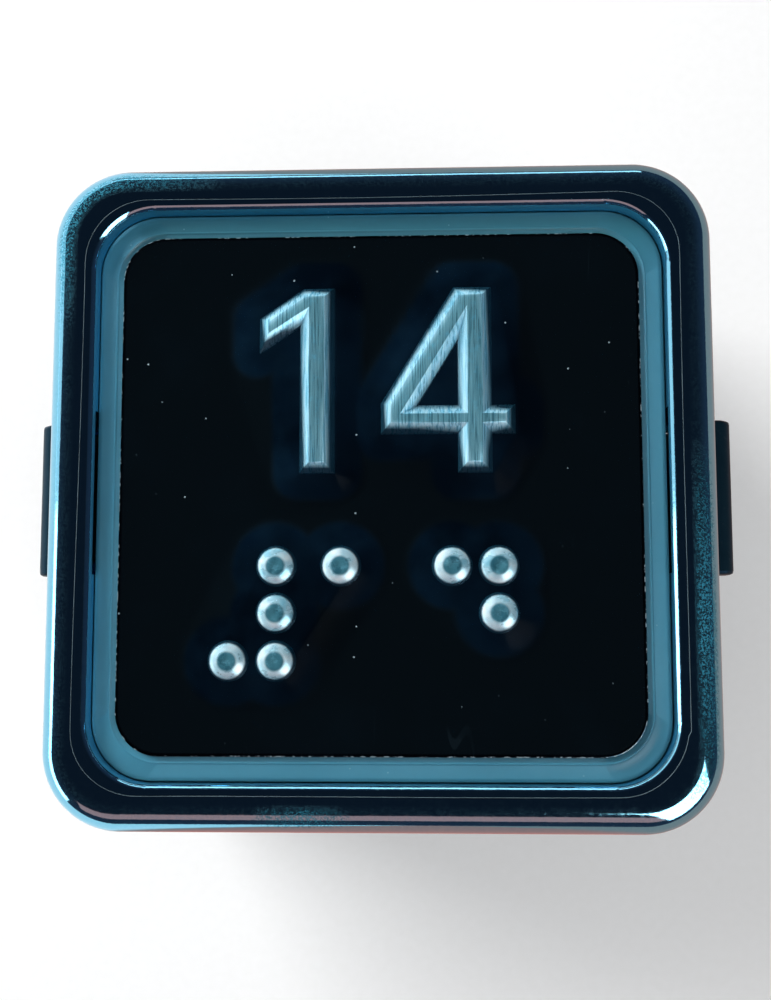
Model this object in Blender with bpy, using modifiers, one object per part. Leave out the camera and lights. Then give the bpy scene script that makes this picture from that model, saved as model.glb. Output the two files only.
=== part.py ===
"""A square illuminated push button for a panel, lying on its back with its face up.

Metres, +Z up and out of the face, +Y to the top of the face. The origin is the centre of
the rear face. The face presses down along Z, and two spring wings hold the panel.
"""

import math

import bmesh
import bpy

MM = 0.001

# Clearances
FIT = 0.15 * MM  # between a sliding piece and its guide
TOUCH = 0.1 * MM  # between pieces that sit on each other
BOND = 0.05 * MM  # between the face plate and what it is glued to
OVERLAP = 0.3 * MM  # how far shapes joined into one piece run into each other

# Facets
CORNER_STEPS = 6  # round each corner of a rounded square
EDGE_STEPS = 5  # over the bezel's shoulder
LIP_STEPS = 3
BEAD_STEPS = 14
ROUND_SIDES = 20
SOFT_EDGE_STEPS = 2
SMOOTH_UP_TO = math.radians(32)  # faces that meet at less are shaded as one
WELD = 0.01 * MM

# Overall sizes
BEZEL_SIDE = 36.3 * MM
BEZEL_HEIGHT = 2.7 * MM  # in front of the panel
BODY_DEPTH = 17.8 * MM  # behind the panel's front
PANEL = BODY_DEPTH
FRONT = PANEL + BEZEL_HEIGHT

# Bezel
FRAME_WIDTH = 2.65 * MM
BEZEL_CORNER = 4.3 * MM
BEZEL_ROUND = 1.7 * MM
WINDOW_CORNER = 3.3 * MM
LIP_ROUND = 0.3 * MM
LIP_HEIGHT = 0.75 * MM  # what is left over each wing notch
SKIRT_WALL = 0.9 * MM
SKIRT_CORNER = 3.9 * MM
SNAP_PLACE = 6.0 * MM
SNAP_HALF = 2.0 * MM
SNAP_HEIGHT = 1.0 * MM
SNAP_REACH = 0.65 * MM
BEZEL_HALF = BEZEL_SIDE / 2
WINDOW_HALF = BEZEL_HALF - FRAME_WIDTH
BODY_HALF = WINDOW_HALF + SKIRT_WALL

# Light ring cap, which is the moving face, and the plate glued on it
TRAVEL = 1.2 * MM
RING_RECESS = 1.2 * MM  # under the bezel's front
CAP_THICK = 1.4 * MM
CAP_CORNER = 3.15 * MM
CAP_EDGE = 0.15 * MM
GUIDE_WALL = 0.8 * MM
GUIDE_LENGTH = 1.5 * MM
RING_WIDTH = 1.2 * MM  # what shows of the cap round the plate
PLATE_THICK = 0.3 * MM
PLATE_CORNER = 2.4 * MM
PLATE_EDGE = 0.12 * MM
PAD_MARGIN = 0.8 * MM  # from the plate's edge to the glue pad's edge
PAD_THICK = 0.2 * MM
ACTUATOR_RADIUS = 2.0 * MM
RING_TOP = FRONT - RING_RECESS
CAP_UNDER = RING_TOP - CAP_THICK
CAP_HALF = WINDOW_HALF - FIT
PLATE_HALF = CAP_HALF - RING_WIDTH

# Peel-off film on the plate. Its pockets hold the raised figures and the groups of braille dots, whose
# outlines are given as shares of the plate's half side
FILM_MARGIN = 0.2 * MM  # from the plate's edge to the film's
FILM_THICK = 0.06 * MM
FILM_RISE = 0.68 * MM  # of a pocket, over the sheet
FILM_STEPS = 3  # round each corner of a pocket
FIGURE_NEAR = 0.1 * MM  # from a figure to where its pocket starts to fall
FIGURE_FAR = 1.8 * MM  # from a figure to where its pocket meets the sheet
DOTS_NEAR = 0.6 * MM
DOTS_FAR = 2.7 * MM
FIRST_FIGURE = [
    (-0.307, 0.068), (-0.171, 0.068), (-0.171, 0.793), (-0.293, 0.793), (-0.464, 0.675), (-0.464, 0.539)]
SECOND_FIGURE = [
    (0.304, 0.068), (0.436, 0.068), (0.525, 0.218), (0.525, 0.329),
    (0.436, 0.793), (0.289, 0.793), (0.007, 0.336), (0.007, 0.218)]
FIRST_DOTS = [(-0.576, -0.65), (-0.394, -0.65), (-0.147, -0.289), (-0.394, -0.289)]
SECOND_DOTS = [(0.279, -0.289), (0.456, -0.469), (0.456, -0.289)]
POCKETS = [
    (FIRST_FIGURE, FIGURE_NEAR, FIGURE_FAR), (SECOND_FIGURE, FIGURE_NEAR, FIGURE_FAR),
    (FIRST_DOTS, DOTS_NEAR, DOTS_FAR), (SECOND_DOTS, DOTS_NEAR, DOTS_FAR)]
POCKET_FALL = [(1.0, 0.0), (0.45, 0.47), (0.0, 1.0)]  # shares of the way out and of the rise

# Housing
BODY_WALL = 1.5 * MM
COLLAR_WALL = 1.45 * MM
DECK_DROP = 1.9 * MM  # from the collar's top to the deck
DECK_THICK = 1.4 * MM
DECK_HOLE = 4.6 * MM
SHOULDER = 0.6 * MM  # from the deck's underside to the body's top
STEP_BELOW = 1.2 * MM  # how far the thick collar wall runs into the body
COLLAR_TOP = CAP_UNDER - TRAVEL - 2 * TOUCH
DECK_TOP = COLLAR_TOP - DECK_DROP
DECK_UNDER = DECK_TOP - DECK_THICK
BODY_TOP = DECK_UNDER - SHOULDER
SKIRT_END = BODY_TOP + 2 * TOUCH
COLLAR_IN = CAP_HALF - COLLAR_WALL
BODY_IN = BODY_HALF - BODY_WALL

# Guide posts, the springs round them and the cups that hold the springs
POST_RADIUS = 0.85 * MM
POST_STICKS_OUT = 0.4 * MM
CUP_WALL = 0.45 * MM
CUP_DEPTH = 1.4 * MM  # under the deck
CUP_FLOOR = 0.8 * MM
WIRE_RADIUS = 0.2 * MM
COIL_RADIUS = 1.25 * MM
COIL_TURNS = 5
COIL_STEPS = 10
CUP_SEAT = DECK_UNDER - CUP_DEPTH
CUP_UNDER = CUP_SEAT - CUP_FLOOR
SPRING_RADIUS = COIL_RADIUS + WIRE_RADIUS
CUP_BORE = SPRING_RADIUS + FIT
CUP_RADIUS = CUP_BORE + CUP_WALL
POST_PLACE = COLLAR_IN - FIT - GUIDE_WALL - FIT - SPRING_RADIUS

# Hooks that keep the cap in the housing
HOOK_HALF = 1.8 * MM
HOOK_INSET = 2.3 * MM  # from the collar's inside to the leg's inner face
HOOK_THICK = 0.9 * MM
HOOK_CATCH = 0.7 * MM
HOOK_TIP = 0.85 * MM
HOOK_PLACE = COLLAR_IN - HOOK_INSET

# Spring wings
WING_HALF = 4.4 * MM
WING_SIDE_GAP = 0.3 * MM
WING_STICKS_OUT = 1.75 * MM  # past the bezel's side
PANEL_SPACE = 2.1 * MM  # thickest panel that the wings let in
WING_ARM = 1.3 * MM
WING_HEAD = 3.05 * MM
WING_HEAD_DEPTH = 3.1 * MM
WING_CHAMFER = 0.5 * MM
WING_SHOULDER = 1.7 * MM  # from the head's top down to where the arm meets it outside
WING_NECK = 4.0 * MM  # the same inside
WING_EDGE = 0.25 * MM
WING_FOOT_OUT = math.radians(28)  # where the arm leaves the bead, outside and inside
WING_FOOT_IN = math.radians(143)
WING_ROOM = 2.5 * MM  # what the folded wing needs inside the bead's axis
BEAD_RADIUS = 0.85 * MM
BEAD_INSET = 1.5 * MM  # from the body's side to the bead's axis
BEAD_HEIGHT = 4.6 * MM
SEAT_HALF = 1.3 * MM
WING_TOP = PANEL - PANEL_SPACE
WING_REACH = BEZEL_HALF + WING_STICKS_OUT
WING_AXIS = BODY_HALF - BEAD_INSET
WING_CLEAR = WING_AXIS - WING_ROOM
NOTCH_HALF = WING_HALF + WING_SIDE_GAP

# Rear cover and its screws
COVER_THICK = 2.0 * MM
COVER_EDGE = 0.5 * MM
COVER_RIM = 1.4 * MM
COVER_RIM_GAP = 2.4 * MM  # from the rim's end to a boss
COVER_RIM_WALL = 1.1 * MM
BOARD_POST_INSET = 5.4 * MM  # from the body's inside to the post's axis
BOARD_POST_RADIUS = 1.5 * MM
BOSS_INSET = 1.9 * MM  # from the body's inside to the screw's axis
BOSS_RADIUS = 2.1 * MM
BOSS_FLOOR = 0.8 * MM  # over the screw's bore
SCREW_RADIUS = 0.8 * MM
SCREW_HEAD = 1.9 * MM
SCREW_HEAD_HEIGHT = 0.85 * MM
SCREW_HEAD_FLAT = 1.3 * MM
SCREW_TIP = 0.25 * MM
SCREW_SUNK = 0.2 * MM
SCREW_END_GAP = 0.75 * MM  # from the screw's tip to the bore's end
HOUSING_END = COVER_THICK + TOUCH
BOARD_POST_PLACE = BODY_IN - BOARD_POST_INSET
BOSS_PLACE = BODY_IN - BOSS_INSET
BOSS_TOP = CUP_UNDER - POST_STICKS_OUT - TRAVEL - 2 * TOUCH
COVER_RIM_HALF = BOSS_PLACE - BOSS_RADIUS - COVER_RIM_GAP

# Circuit board and what it carries
BOARD_DROP = 4.6 * MM  # from the deck's underside to the board
BOARD_THICK = 1.6 * MM
BOARD_GAP = 0.4 * MM
RIB_GAP = 0.8 * MM  # from the rib to a boss
RIB_HALF = 0.8 * MM
RIB_DEPTH = 1.3 * MM
SWITCH_HALF = 3.1 * MM
SWITCH_BASE_HEIGHT = 3.2 * MM
SWITCH_SHEET = 0.3 * MM
SWITCH_FLOOR = 0.3 * MM
STEM_RADIUS = 1.7 * MM
STEM_FLANGE = 2.3 * MM
LED_HALF = 1.3 * MM
LED_HEIGHT = 1.6 * MM
LED_LENS_RADIUS = 1.0 * MM
LED_LENS_DEPTH = 0.4 * MM
LED_INSET = 1.7 * MM  # from the collar's inside to the lamp's axis, under the ring
LED_ALONG_TOP = 5.0 * MM
LED_WALL = 0.5 * MM  # between a wing's window and the lamp's well beside it
RESISTOR_LENGTH = 2.0 * MM
RESISTOR_WIDTH = 1.25 * MM
RESISTOR_HEIGHT = 0.55 * MM
RESISTOR_X = 7.0 * MM
RESISTOR_Y = 2.0 * MM
BOARD_TOP = DECK_UNDER - BOARD_DROP
BOARD_UNDER = BOARD_TOP - BOARD_THICK
RIB_PLACE = BOSS_PLACE - BOSS_RADIUS - RIB_GAP - RIB_HALF
LED_ROW = COLLAR_IN - LED_INSET
LED_ALONG_SIDE = NOTCH_HALF + LED_WALL + LED_HALF
STEM_TOP = BOARD_TOP + SWITCH_BASE_HEIGHT + SWITCH_SHEET + TRAVEL
STEM_FLANGE_TOP = BOARD_TOP + SWITCH_BASE_HEIGHT - 2 * TOUCH
STEM_FLANGE_END = BOARD_TOP + BOND + SWITCH_FLOOR + TRAVEL + FIT

# Connector
CONNECTOR_Y = -6.5 * MM
SHROUD_HALF_X = 5.5 * MM
SHROUD_HALF_Y = 3.0 * MM
SHROUD_WALL = 0.8 * MM
SHROUD_MOUTH = 1.2 * MM  # inside the rear face
SHROUD_FLOOR = 1.2 * MM
SHROUD_KEY_HALF = 0.6 * MM
SHROUD_KEY_PLACE = 2.0 * MM
SHROUD_KEY_DEPTH = 3.0 * MM
PIN_PITCH = 2.0 * MM
PIN_COUNT = 4
PIN_HALF = 0.25 * MM
PIN_MOUTH = 2.0 * MM
PIN_TAIL = 1.0 * MM  # over the board
COVER_WINDOW_GAP = 0.5 * MM

MIRROR_SIGNS = [(x, y) for x in (-1, 1) for y in (-1, 1)]


# The scene and its two collections
for old in list(bpy.data.objects):
    bpy.data.objects.remove(old)
parts = bpy.data.collections.new("push_button")
cutters = bpy.data.collections.new("cutters")
bpy.context.scene.collection.children.link(parts)
bpy.context.scene.collection.children.link(cutters)


def linear(channel):
    """One sRGB channel, 0 to 255, as linear light."""
    value = channel / 255
    return value / 12.92 if value <= 0.04045 else ((value + 0.055) / 1.055) ** 2.4


def material(name, hex_colour, roughness, metallic=0.0):
    made = bpy.data.materials.new(name)
    made.use_nodes = True
    shader = made.node_tree.nodes["Principled BSDF"]
    channels = [int(hex_colour[i : i + 2], 16) for i in (0, 2, 4)]
    shader.inputs["Base Color"].default_value = (*map(linear, channels), 1.0)
    shader.inputs["Roughness"].default_value = roughness
    shader.inputs["Metallic"].default_value = metallic
    return made


BLUE_CHROME = material("blue_chrome", "9FC4D6", 0.05, 1.0)
BLUE_STEEL = material("blackened_mirror_steel", "2B3A45", 0.06, 1.0)
CLEAR_FILM = material("polythene_film", "8FC3D8", 0.2)
LIGHT_RING = material("teal_polycarbonate", "3F8299", 0.35)
BLACK_PLASTIC = material("black_moulded_plastic", "15191D", 0.45)
GLUE_FOAM = material("adhesive_foam", "3A3D40", 0.9)
BOARD_GREEN = material("board_laminate", "1F5A38", 0.5)
SWITCH_BLACK = material("switch_plastic", "1B1B1D", 0.5)
TINNED_STEEL = material("tinned_steel", "B9BCC0", 0.3, 1.0)
STEM_WHITE = material("stem_plastic", "E6E2D6", 0.4)
SPRING_STEEL = material("spring_steel", "9A9DA1", 0.3, 1.0)
LED_WHITE = material("led_body", "ECEDE8", 0.4)
RESISTOR_BLACK = material("resistor_ceramic", "222428", 0.6)
SHROUD_IVORY = material("connector_nylon", "E4DCC4", 0.5)
PIN_TIN = material("tinned_pin", "C9C5B4", 0.3, 1.0)
SCREW_ZINC = material("zinc_plated_screw", "A9A9A4", 0.35, 1.0)


def add(name, mesh, surface=None, location=(0, 0, 0)):
    """Links a mesh as a part, or as a cutter where it has no surface."""
    obj = bpy.data.objects.new(name, mesh)
    obj.location = location
    if surface is None:
        cutters.objects.link(obj)
        obj.hide_render = True
        obj.display_type = "WIRE"
    else:
        parts.objects.link(obj)
        mesh.materials.clear()
        mesh.materials.append(surface)
    return obj


def mesh_from(bm, name):
    bmesh.ops.recalc_face_normals(bm, faces=bm.faces[:])
    mesh = bpy.data.meshes.new(name)
    bm.to_mesh(mesh)
    bm.free()
    mesh.shade_smooth()
    mesh.set_sharp_from_angle(angle=SMOOTH_UP_TO)
    return mesh


def shapes(name, boxes=(), rods=()):
    """One mesh of separate boxes (x0, x1, y0, y1, z0, z1) and upright rods (x, y, radius, z0, z1)."""
    bm = bmesh.new()
    for x0, x1, y0, y1, z0, z1 in boxes:
        corners = bmesh.ops.create_cube(bm, size=1.0)["verts"]
        bmesh.ops.scale(bm, vec=(x1 - x0, y1 - y0, z1 - z0), verts=corners)
        bmesh.ops.translate(bm, vec=((x0 + x1) / 2, (y0 + y1) / 2, (z0 + z1) / 2), verts=corners)
    for x, y, radius, z0, z1 in rods:
        rim = bmesh.ops.create_cone(
            bm, cap_ends=True, segments=ROUND_SIDES, radius1=radius, radius2=radius, depth=z1 - z0
        )["verts"]
        bmesh.ops.translate(bm, vec=(x, y, (z0 + z1) / 2), verts=rim)
    return mesh_from(bm, name)


def rounded_square(half, corner):
    """Points round a square with rounded corners, anticlockwise."""
    inner = half - corner
    points = []
    for sign_x, sign_y, start in ((1, 1, 0), (-1, 1, 90), (-1, -1, 180), (1, -1, 270)):
        for step in range(CORNER_STEPS + 1):
            angle = math.radians(start + 90 * step / CORNER_STEPS)
            points.append(
                (sign_x * inner + corner * math.cos(angle), sign_y * inner + corner * math.sin(angle))
            )
    return points


def loft(name, sections, ring):
    """A skin over rounded squares (half side, corner radius, height): a closed ring, or a capped solid."""
    return skin(name, [(rounded_square(half, corner), height) for half, corner, height in sections], ring)


def skin(name, outlines, ring):
    """A skin over outlines (points, height) that have as many points: a closed ring, or a capped solid."""
    bm = bmesh.new()
    rows = [[bm.verts.new((x, y, height)) for x, y in points] for points, height in outlines]
    pairs = list(zip(rows, rows[1:]))
    if ring:
        pairs.append((rows[-1], rows[0]))
    for below, above in pairs:
        for i in range(len(below)):
            j = (i + 1) % len(below)
            bm.faces.new((below[i], below[j], above[j], above[i]))
    if not ring:
        bm.faces.new(rows[0])
        bm.faces.new(rows[-1])
    return mesh_from(bm, name)


def boolean(obj, other, operation):
    modifier = obj.modifiers.new(f"{operation.lower()}_{other.name}", "BOOLEAN")
    modifier.object = other
    modifier.operation = operation
    modifier.solver = "EXACT"


def cut(obj, name, **kind):
    boolean(obj, add(f"{obj.name}_{name}", shapes(name, **kind)), "DIFFERENCE")


def join(obj, name, **kind):
    boolean(obj, add(f"{obj.name}_{name}", shapes(name, **kind)), "UNION")


def on_four_corners(place):
    return [(x * place, y * place) for x, y in MIRROR_SIGNS]


def on_both_sides(low_x, high_x, half_y, low, high):
    """The same box at the left and at the right, centred on the X axis."""
    return [
        (min(s * low_x, s * high_x), max(s * low_x, s * high_x), -half_y, half_y, low, high)
        for s in (-1, 1)
    ]


def at_top_and_bottom(x, half_x, low_y, high_y, low, high):
    """The same box at the face's top and bottom, centred on x."""
    return [
        (x - half_x, x + half_x, min(s * low_y, s * high_y), max(s * low_y, s * high_y), low, high)
        for s in (-1, 1)
    ]


def led_places():
    """Where the lamps stand, under the ring and clear of the wings, posts and hooks."""
    along = [(x * LED_ALONG_TOP, y * LED_ROW) for x, y in MIRROR_SIGNS]
    return along + [(x * LED_ROW, y * LED_ALONG_SIDE) for x, y in MIRROR_SIGNS]


def pin_places():
    first = -PIN_PITCH * (PIN_COUNT - 1) / 2
    return [(first + i * PIN_PITCH, CONNECTOR_Y) for i in range(PIN_COUNT)]


def make_bezel():
    """Plated frame: a rounded shoulder, a small lip, and a skirt that enters the panel's cut-out."""
    sections = [
        (BODY_HALF, SKIRT_CORNER, SKIRT_END),
        (BODY_HALF, SKIRT_CORNER, PANEL),
        (BEZEL_HALF, BEZEL_CORNER, PANEL),
    ]
    for step in range(EDGE_STEPS + 1):
        angle = math.pi / 2 * step / EDGE_STEPS
        inset = BEZEL_ROUND * (1 - math.cos(angle))
        height = FRONT - BEZEL_ROUND * (1 - math.sin(angle))
        sections.append((BEZEL_HALF - inset, BEZEL_CORNER - inset, height))
    for step in range(LIP_STEPS + 1):
        angle = math.pi / 2 * step / LIP_STEPS
        outset = LIP_ROUND * (1 - math.sin(angle))
        height = FRONT - LIP_ROUND * (1 - math.cos(angle))
        sections.append((WINDOW_HALF + outset, WINDOW_CORNER + outset, height))
    sections.append((WINDOW_HALF, WINDOW_CORNER, SKIRT_END))
    bezel = add("bezel", loft("bezel", sections, ring=True), BLUE_CHROME)
    cut(bezel, "wing_notches", boxes=on_both_sides(
        COLLAR_IN, BODY_HALF + TOUCH, NOTCH_HALF, BODY_TOP, FRONT - LIP_HEIGHT))
    low, high = snap_heights()
    cut(bezel, "snap_windows", boxes=[
        box for side in (-1, 1) for box in at_top_and_bottom(
            side * SNAP_PLACE, SNAP_HALF + FIT, COLLAR_IN, BODY_HALF + OVERLAP, low - FIT, high + FIT)])


def snap_heights():
    """Bottom and top of the bumps that the bezel's skirt clicks over."""
    low = (DECK_UNDER + DECK_TOP) / 2 + OVERLAP
    return low, low + SNAP_HEIGHT


def make_face_plate():
    bottom, top = RING_TOP + BOND, RING_TOP + BOND + PLATE_THICK
    sections = [
        (PLATE_HALF, PLATE_CORNER, bottom),
        (PLATE_HALF, PLATE_CORNER, top - PLATE_EDGE),
        (PLATE_HALF - PLATE_EDGE, PLATE_CORNER - PLATE_EDGE, top),
    ]
    add("face_plate", loft("face_plate", sections, ring=False), BLUE_STEEL)


def spread(outline, distance):
    """A convex outline, given as shares of the plate's half side, moved outwards with rounded corners."""
    corners = [(x * PLATE_HALF, y * PLATE_HALF) for x, y in outline]
    points = []
    for i, (x, y) in enumerate(corners):
        before, after = corners[i - 1], corners[(i + 1) % len(corners)]
        start = math.atan2(y - before[1], x - before[0]) - math.pi / 2
        turn = (math.atan2(after[1] - y, after[0] - x) - math.pi / 2 - start) % math.tau
        for step in range(FILM_STEPS + 1):
            angle = start + turn * step / FILM_STEPS
            points.append((x + distance * math.cos(angle), y + distance * math.sin(angle)))
    return points


def make_protective_film():
    """Peel-off film: a thin sheet on the plate, with a pocket over whatever is raised on it."""
    bottom = RING_TOP + BOND + PLATE_THICK + BOND
    top = bottom + FILM_THICK
    half, corner = PLATE_HALF - FILM_MARGIN, PLATE_CORNER - FILM_MARGIN
    sections = [(half, corner, bottom), (half, corner, top)]
    film = add("protective_film", loft("protective_film", sections, ring=False), CLEAR_FILM)
    for number, (outline, near, far) in enumerate(POCKETS, 1):
        foot = (spread(outline, far), bottom + FILM_THICK / 2)
        fall = [(spread(outline, near + out * (far - near)), top + up * FILM_RISE) for out, up in POCKET_FALL]
        pocket = add(f"film_pocket_{number}", skin(f"film_pocket_{number}", [foot] + fall, ring=False))
        boolean(film, pocket, "UNION")


def make_adhesive_pad():
    half, corner = PLATE_HALF - PAD_MARGIN, PLATE_CORNER - PAD_MARGIN
    sections = [(half, corner, RING_TOP - PAD_THICK), (half, corner, RING_TOP)]
    add("adhesive_pad", loft("adhesive_pad", sections, ring=False), GLUE_FOAM)


def make_light_ring_cap():
    """Translucent cap: its rim is the visible ring, and its posts, hooks and actuator point down."""
    pocket = PLATE_HALF - PAD_MARGIN + TOUCH
    pocket_corner = PLATE_CORNER - PAD_MARGIN + TOUCH
    sections = [
        (CAP_HALF, CAP_CORNER, CAP_UNDER),
        (CAP_HALF, CAP_CORNER, RING_TOP - CAP_EDGE),
        (CAP_HALF - CAP_EDGE, CAP_CORNER - CAP_EDGE, RING_TOP),
        (pocket, pocket_corner, RING_TOP),
        (pocket, pocket_corner, RING_TOP - PAD_THICK - BOND),
    ]
    cap = add("light_ring_cap", loft("light_ring_cap", sections, ring=False), LIGHT_RING)
    root = CAP_UNDER + OVERLAP
    posts = [(x, y, POST_RADIUS, CUP_UNDER - POST_STICKS_OUT, root) for x, y in on_four_corners(POST_PLACE)]
    join(cap, "posts", rods=posts + [(0, 0, ACTUATOR_RADIUS, STEM_TOP + TOUCH, root)])
    outer = COLLAR_IN - FIT
    inner, end = outer - GUIDE_WALL, CAP_UNDER - GUIDE_LENGTH
    guides = at_top_and_bottom(0, POST_PLACE, inner, outer, end, root)
    side_low, side_high = NOTCH_HALF + WING_SIDE_GAP, POST_PLACE
    for x, y in MIRROR_SIGNS:
        across, along = sorted((x * inner, x * outer)), sorted((y * side_low, y * side_high))
        guides.append((*across, *along, end, root))
    join(cap, "guides", boxes=guides)
    catch_top = DECK_UNDER - FIT
    catch_end = catch_top - HOOK_TIP
    leg = HOOK_PLACE + HOOK_THICK
    join(cap, "hook_legs", boxes=at_top_and_bottom(0, HOOK_HALF, HOOK_PLACE, leg, catch_end, root))
    join(cap, "hook_tips", boxes=at_top_and_bottom(
        0, HOOK_HALF - TOUCH, leg - OVERLAP, leg + HOOK_CATCH, catch_end + TOUCH, catch_top))


def make_housing():
    """Moulded body: a collar inside the bezel's skirt, a deck with spring cups, and screw bosses."""
    inside_corner = SKIRT_CORNER - BODY_WALL
    collar_corner = CAP_CORNER - COLLAR_WALL
    sections = [
        (BODY_HALF, SKIRT_CORNER, HOUSING_END),
        (BODY_HALF, SKIRT_CORNER, BODY_TOP),
        (CAP_HALF, CAP_CORNER, BODY_TOP),
        (CAP_HALF, CAP_CORNER, COLLAR_TOP),
        (COLLAR_IN, collar_corner, COLLAR_TOP),
        (COLLAR_IN, collar_corner, DECK_TOP),
        (DECK_HOLE, collar_corner, DECK_TOP),
        (DECK_HOLE, collar_corner, DECK_UNDER),
        (COLLAR_IN, collar_corner, DECK_UNDER),
        (COLLAR_IN, collar_corner, BODY_TOP - STEP_BELOW),
        (BODY_IN, inside_corner, BODY_TOP - STEP_BELOW),
        (BODY_IN, inside_corner, HOUSING_END),
    ]
    housing = add("housing", loft("housing", sections, ring=True), BLACK_PLASTIC)

    cups = [(x, y, CUP_RADIUS, CUP_UNDER, DECK_UNDER + OVERLAP) for x, y in on_four_corners(POST_PLACE)]
    boss_low = HOUSING_END + TOUCH
    bosses = [(x, y, BOSS_RADIUS, boss_low, BOSS_TOP) for x, y in on_four_corners(BOSS_PLACE)]
    join(housing, "cups_and_bosses", rods=cups + bosses)
    ribs = [
        box for side in (-1, 1) for box in at_top_and_bottom(
            side * RIB_PLACE, RIB_HALF, BODY_IN - RIB_DEPTH, BODY_IN + OVERLAP,
            BOARD_TOP + TOUCH, DECK_UNDER + OVERLAP)]
    snap_low, snap_high = snap_heights()
    bumps = [
        box for side in (-1, 1) for box in at_top_and_bottom(
            side * SNAP_PLACE, SNAP_HALF, CAP_HALF - OVERLAP, CAP_HALF + SNAP_REACH, snap_low, snap_high)]
    seats = on_both_sides(
        WING_AXIS - SEAT_HALF, WING_AXIS + SEAT_HALF, NOTCH_HALF + SEAT_HALF,
        boss_low, BEAD_HEIGHT + OVERLAP)
    join(housing, "ribs_bumps_and_seats", boxes=ribs + bumps + seats)

    cut(housing, "wing_windows", boxes=on_both_sides(
        WING_CLEAR, BODY_HALF + OVERLAP, NOTCH_HALF, BEAD_HEIGHT, COLLAR_TOP + OVERLAP))
    for side, name in ((-1, "left"), (1, "right")):
        groove = shapes("groove", rods=[(0, 0, BEAD_RADIUS + TOUCH, -NOTCH_HALF, NOTCH_HALF)])
        cutter = add(f"housing_{name}_groove", groove, location=(side * WING_AXIS, 0, BEAD_HEIGHT))
        cutter.rotation_euler.x = math.pi / 2
        boolean(housing, cutter, "DIFFERENCE")
    wells = [
        (x - LED_HALF, x + LED_HALF, y - LED_HALF, y + LED_HALF, DECK_UNDER - TOUCH, DECK_TOP + TOUCH)
        for x, y in led_places()]
    leg = HOOK_PLACE + HOOK_THICK
    hook_slots = at_top_and_bottom(
        0, HOOK_HALF + 2 * FIT, HOOK_PLACE - FIT, leg + FIT, DECK_UNDER - TOUCH, DECK_TOP + TOUCH)
    cut(housing, "light_wells_and_hook_slots", boxes=wells + hook_slots)
    bores = [(x, y, CUP_BORE, CUP_SEAT, DECK_TOP + TOUCH) for x, y in on_four_corners(POST_PLACE)]
    screw_bores = [
        (x, y, SCREW_RADIUS + FIT, boss_low - OVERLAP, BOSS_TOP - BOSS_FLOOR)
        for x, y in on_four_corners(BOSS_PLACE)]
    cut(housing, "bores", rods=bores + screw_bores)
    cut(housing, "post_holes", rods=[
        (x, y, POST_RADIUS + FIT, CUP_UNDER - TOUCH, CUP_SEAT + TOUCH)
        for x, y in on_four_corners(POST_PLACE)])


def make_panel_wings():
    """Spring arms: a bead at the root, a leaning arm, and a head whose flat top meets the panel."""
    rise = WING_TOP - BEAD_HEIGHT
    reach = WING_REACH - WING_AXIS
    head_in = reach - WING_HEAD
    foot = (BEAD_RADIUS * math.cos(WING_FOOT_OUT), BEAD_RADIUS * math.sin(WING_FOOT_OUT))
    shoulder = (reach, rise - WING_SHOULDER)
    lean = math.atan2(shoulder[0] - foot[0], shoulder[1] - foot[1])
    inner_foot = (foot[0] - WING_ARM * math.cos(lean), foot[1] + WING_ARM * math.sin(lean))
    neck = rise - WING_NECK
    outline = [
        (reach - WING_CHAMFER, rise),
        (head_in + WING_CHAMFER, rise),
        (head_in, rise - WING_CHAMFER),
        (head_in, rise - WING_HEAD_DEPTH),
        (inner_foot[0] + (neck - inner_foot[1]) * math.tan(lean), neck),
    ]
    sweep = WING_FOOT_OUT + 2 * math.pi - WING_FOOT_IN
    for step in range(BEAD_STEPS + 1):
        angle = WING_FOOT_IN + sweep * step / BEAD_STEPS
        outline.append((BEAD_RADIUS * math.cos(angle), BEAD_RADIUS * math.sin(angle)))
    outline += [shoulder, (reach, rise - WING_CHAMFER)]
    for side, name in ((-1, "left_panel_wing"), (1, "right_panel_wing")):
        bm = bmesh.new()
        face = bm.faces.new([bm.verts.new((side * x, -WING_HALF, z)) for x, z in outline])
        grown = bmesh.ops.extrude_face_region(bm, geom=[face])["geom"]
        moved = [item for item in grown if isinstance(item, bmesh.types.BMVert)]
        bmesh.ops.translate(bm, vec=(0, 2 * WING_HALF, 0), verts=moved)
        wing = add(name, mesh_from(bm, name), BLACK_PLASTIC, (side * WING_AXIS, 0, BEAD_HEIGHT))
        bevel = wing.modifiers.new("soft_edges", "BEVEL")
        bevel.width = WING_EDGE
        bevel.segments = SOFT_EDGE_STEPS
        bevel.limit_method = "ANGLE"
        bevel.angle_limit = SMOOTH_UP_TO


def make_return_springs():
    low, high = CUP_SEAT + WIRE_RADIUS + TOUCH, CAP_UNDER - WIRE_RADIUS - TOUCH
    pitch = (high - low) / COIL_TURNS
    print(f"return springs: least gap between coils {(pitch - 2 * WIRE_RADIUS) / MM:.2f} mm")
    count = COIL_TURNS * COIL_STEPS
    for number, (x, y) in enumerate(on_four_corners(POST_PLACE), 1):
        name = f"return_spring_{number}"
        curve = bpy.data.curves.new(name, "CURVE")
        curve.dimensions = "3D"
        curve.bevel_depth = WIRE_RADIUS
        curve.bevel_resolution = 1
        curve.use_fill_caps = True
        spline = curve.splines.new("POLY")
        spline.points.add(count)
        for step, point in enumerate(spline.points):
            angle = 2 * math.pi * step / COIL_STEPS
            height = low - CUP_SEAT + (high - low) * step / count
            point.co = (COIL_RADIUS * math.cos(angle), COIL_RADIUS * math.sin(angle), height, 1)
        add(name, curve, SPRING_STEEL, (x, y, CUP_SEAT))


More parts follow.
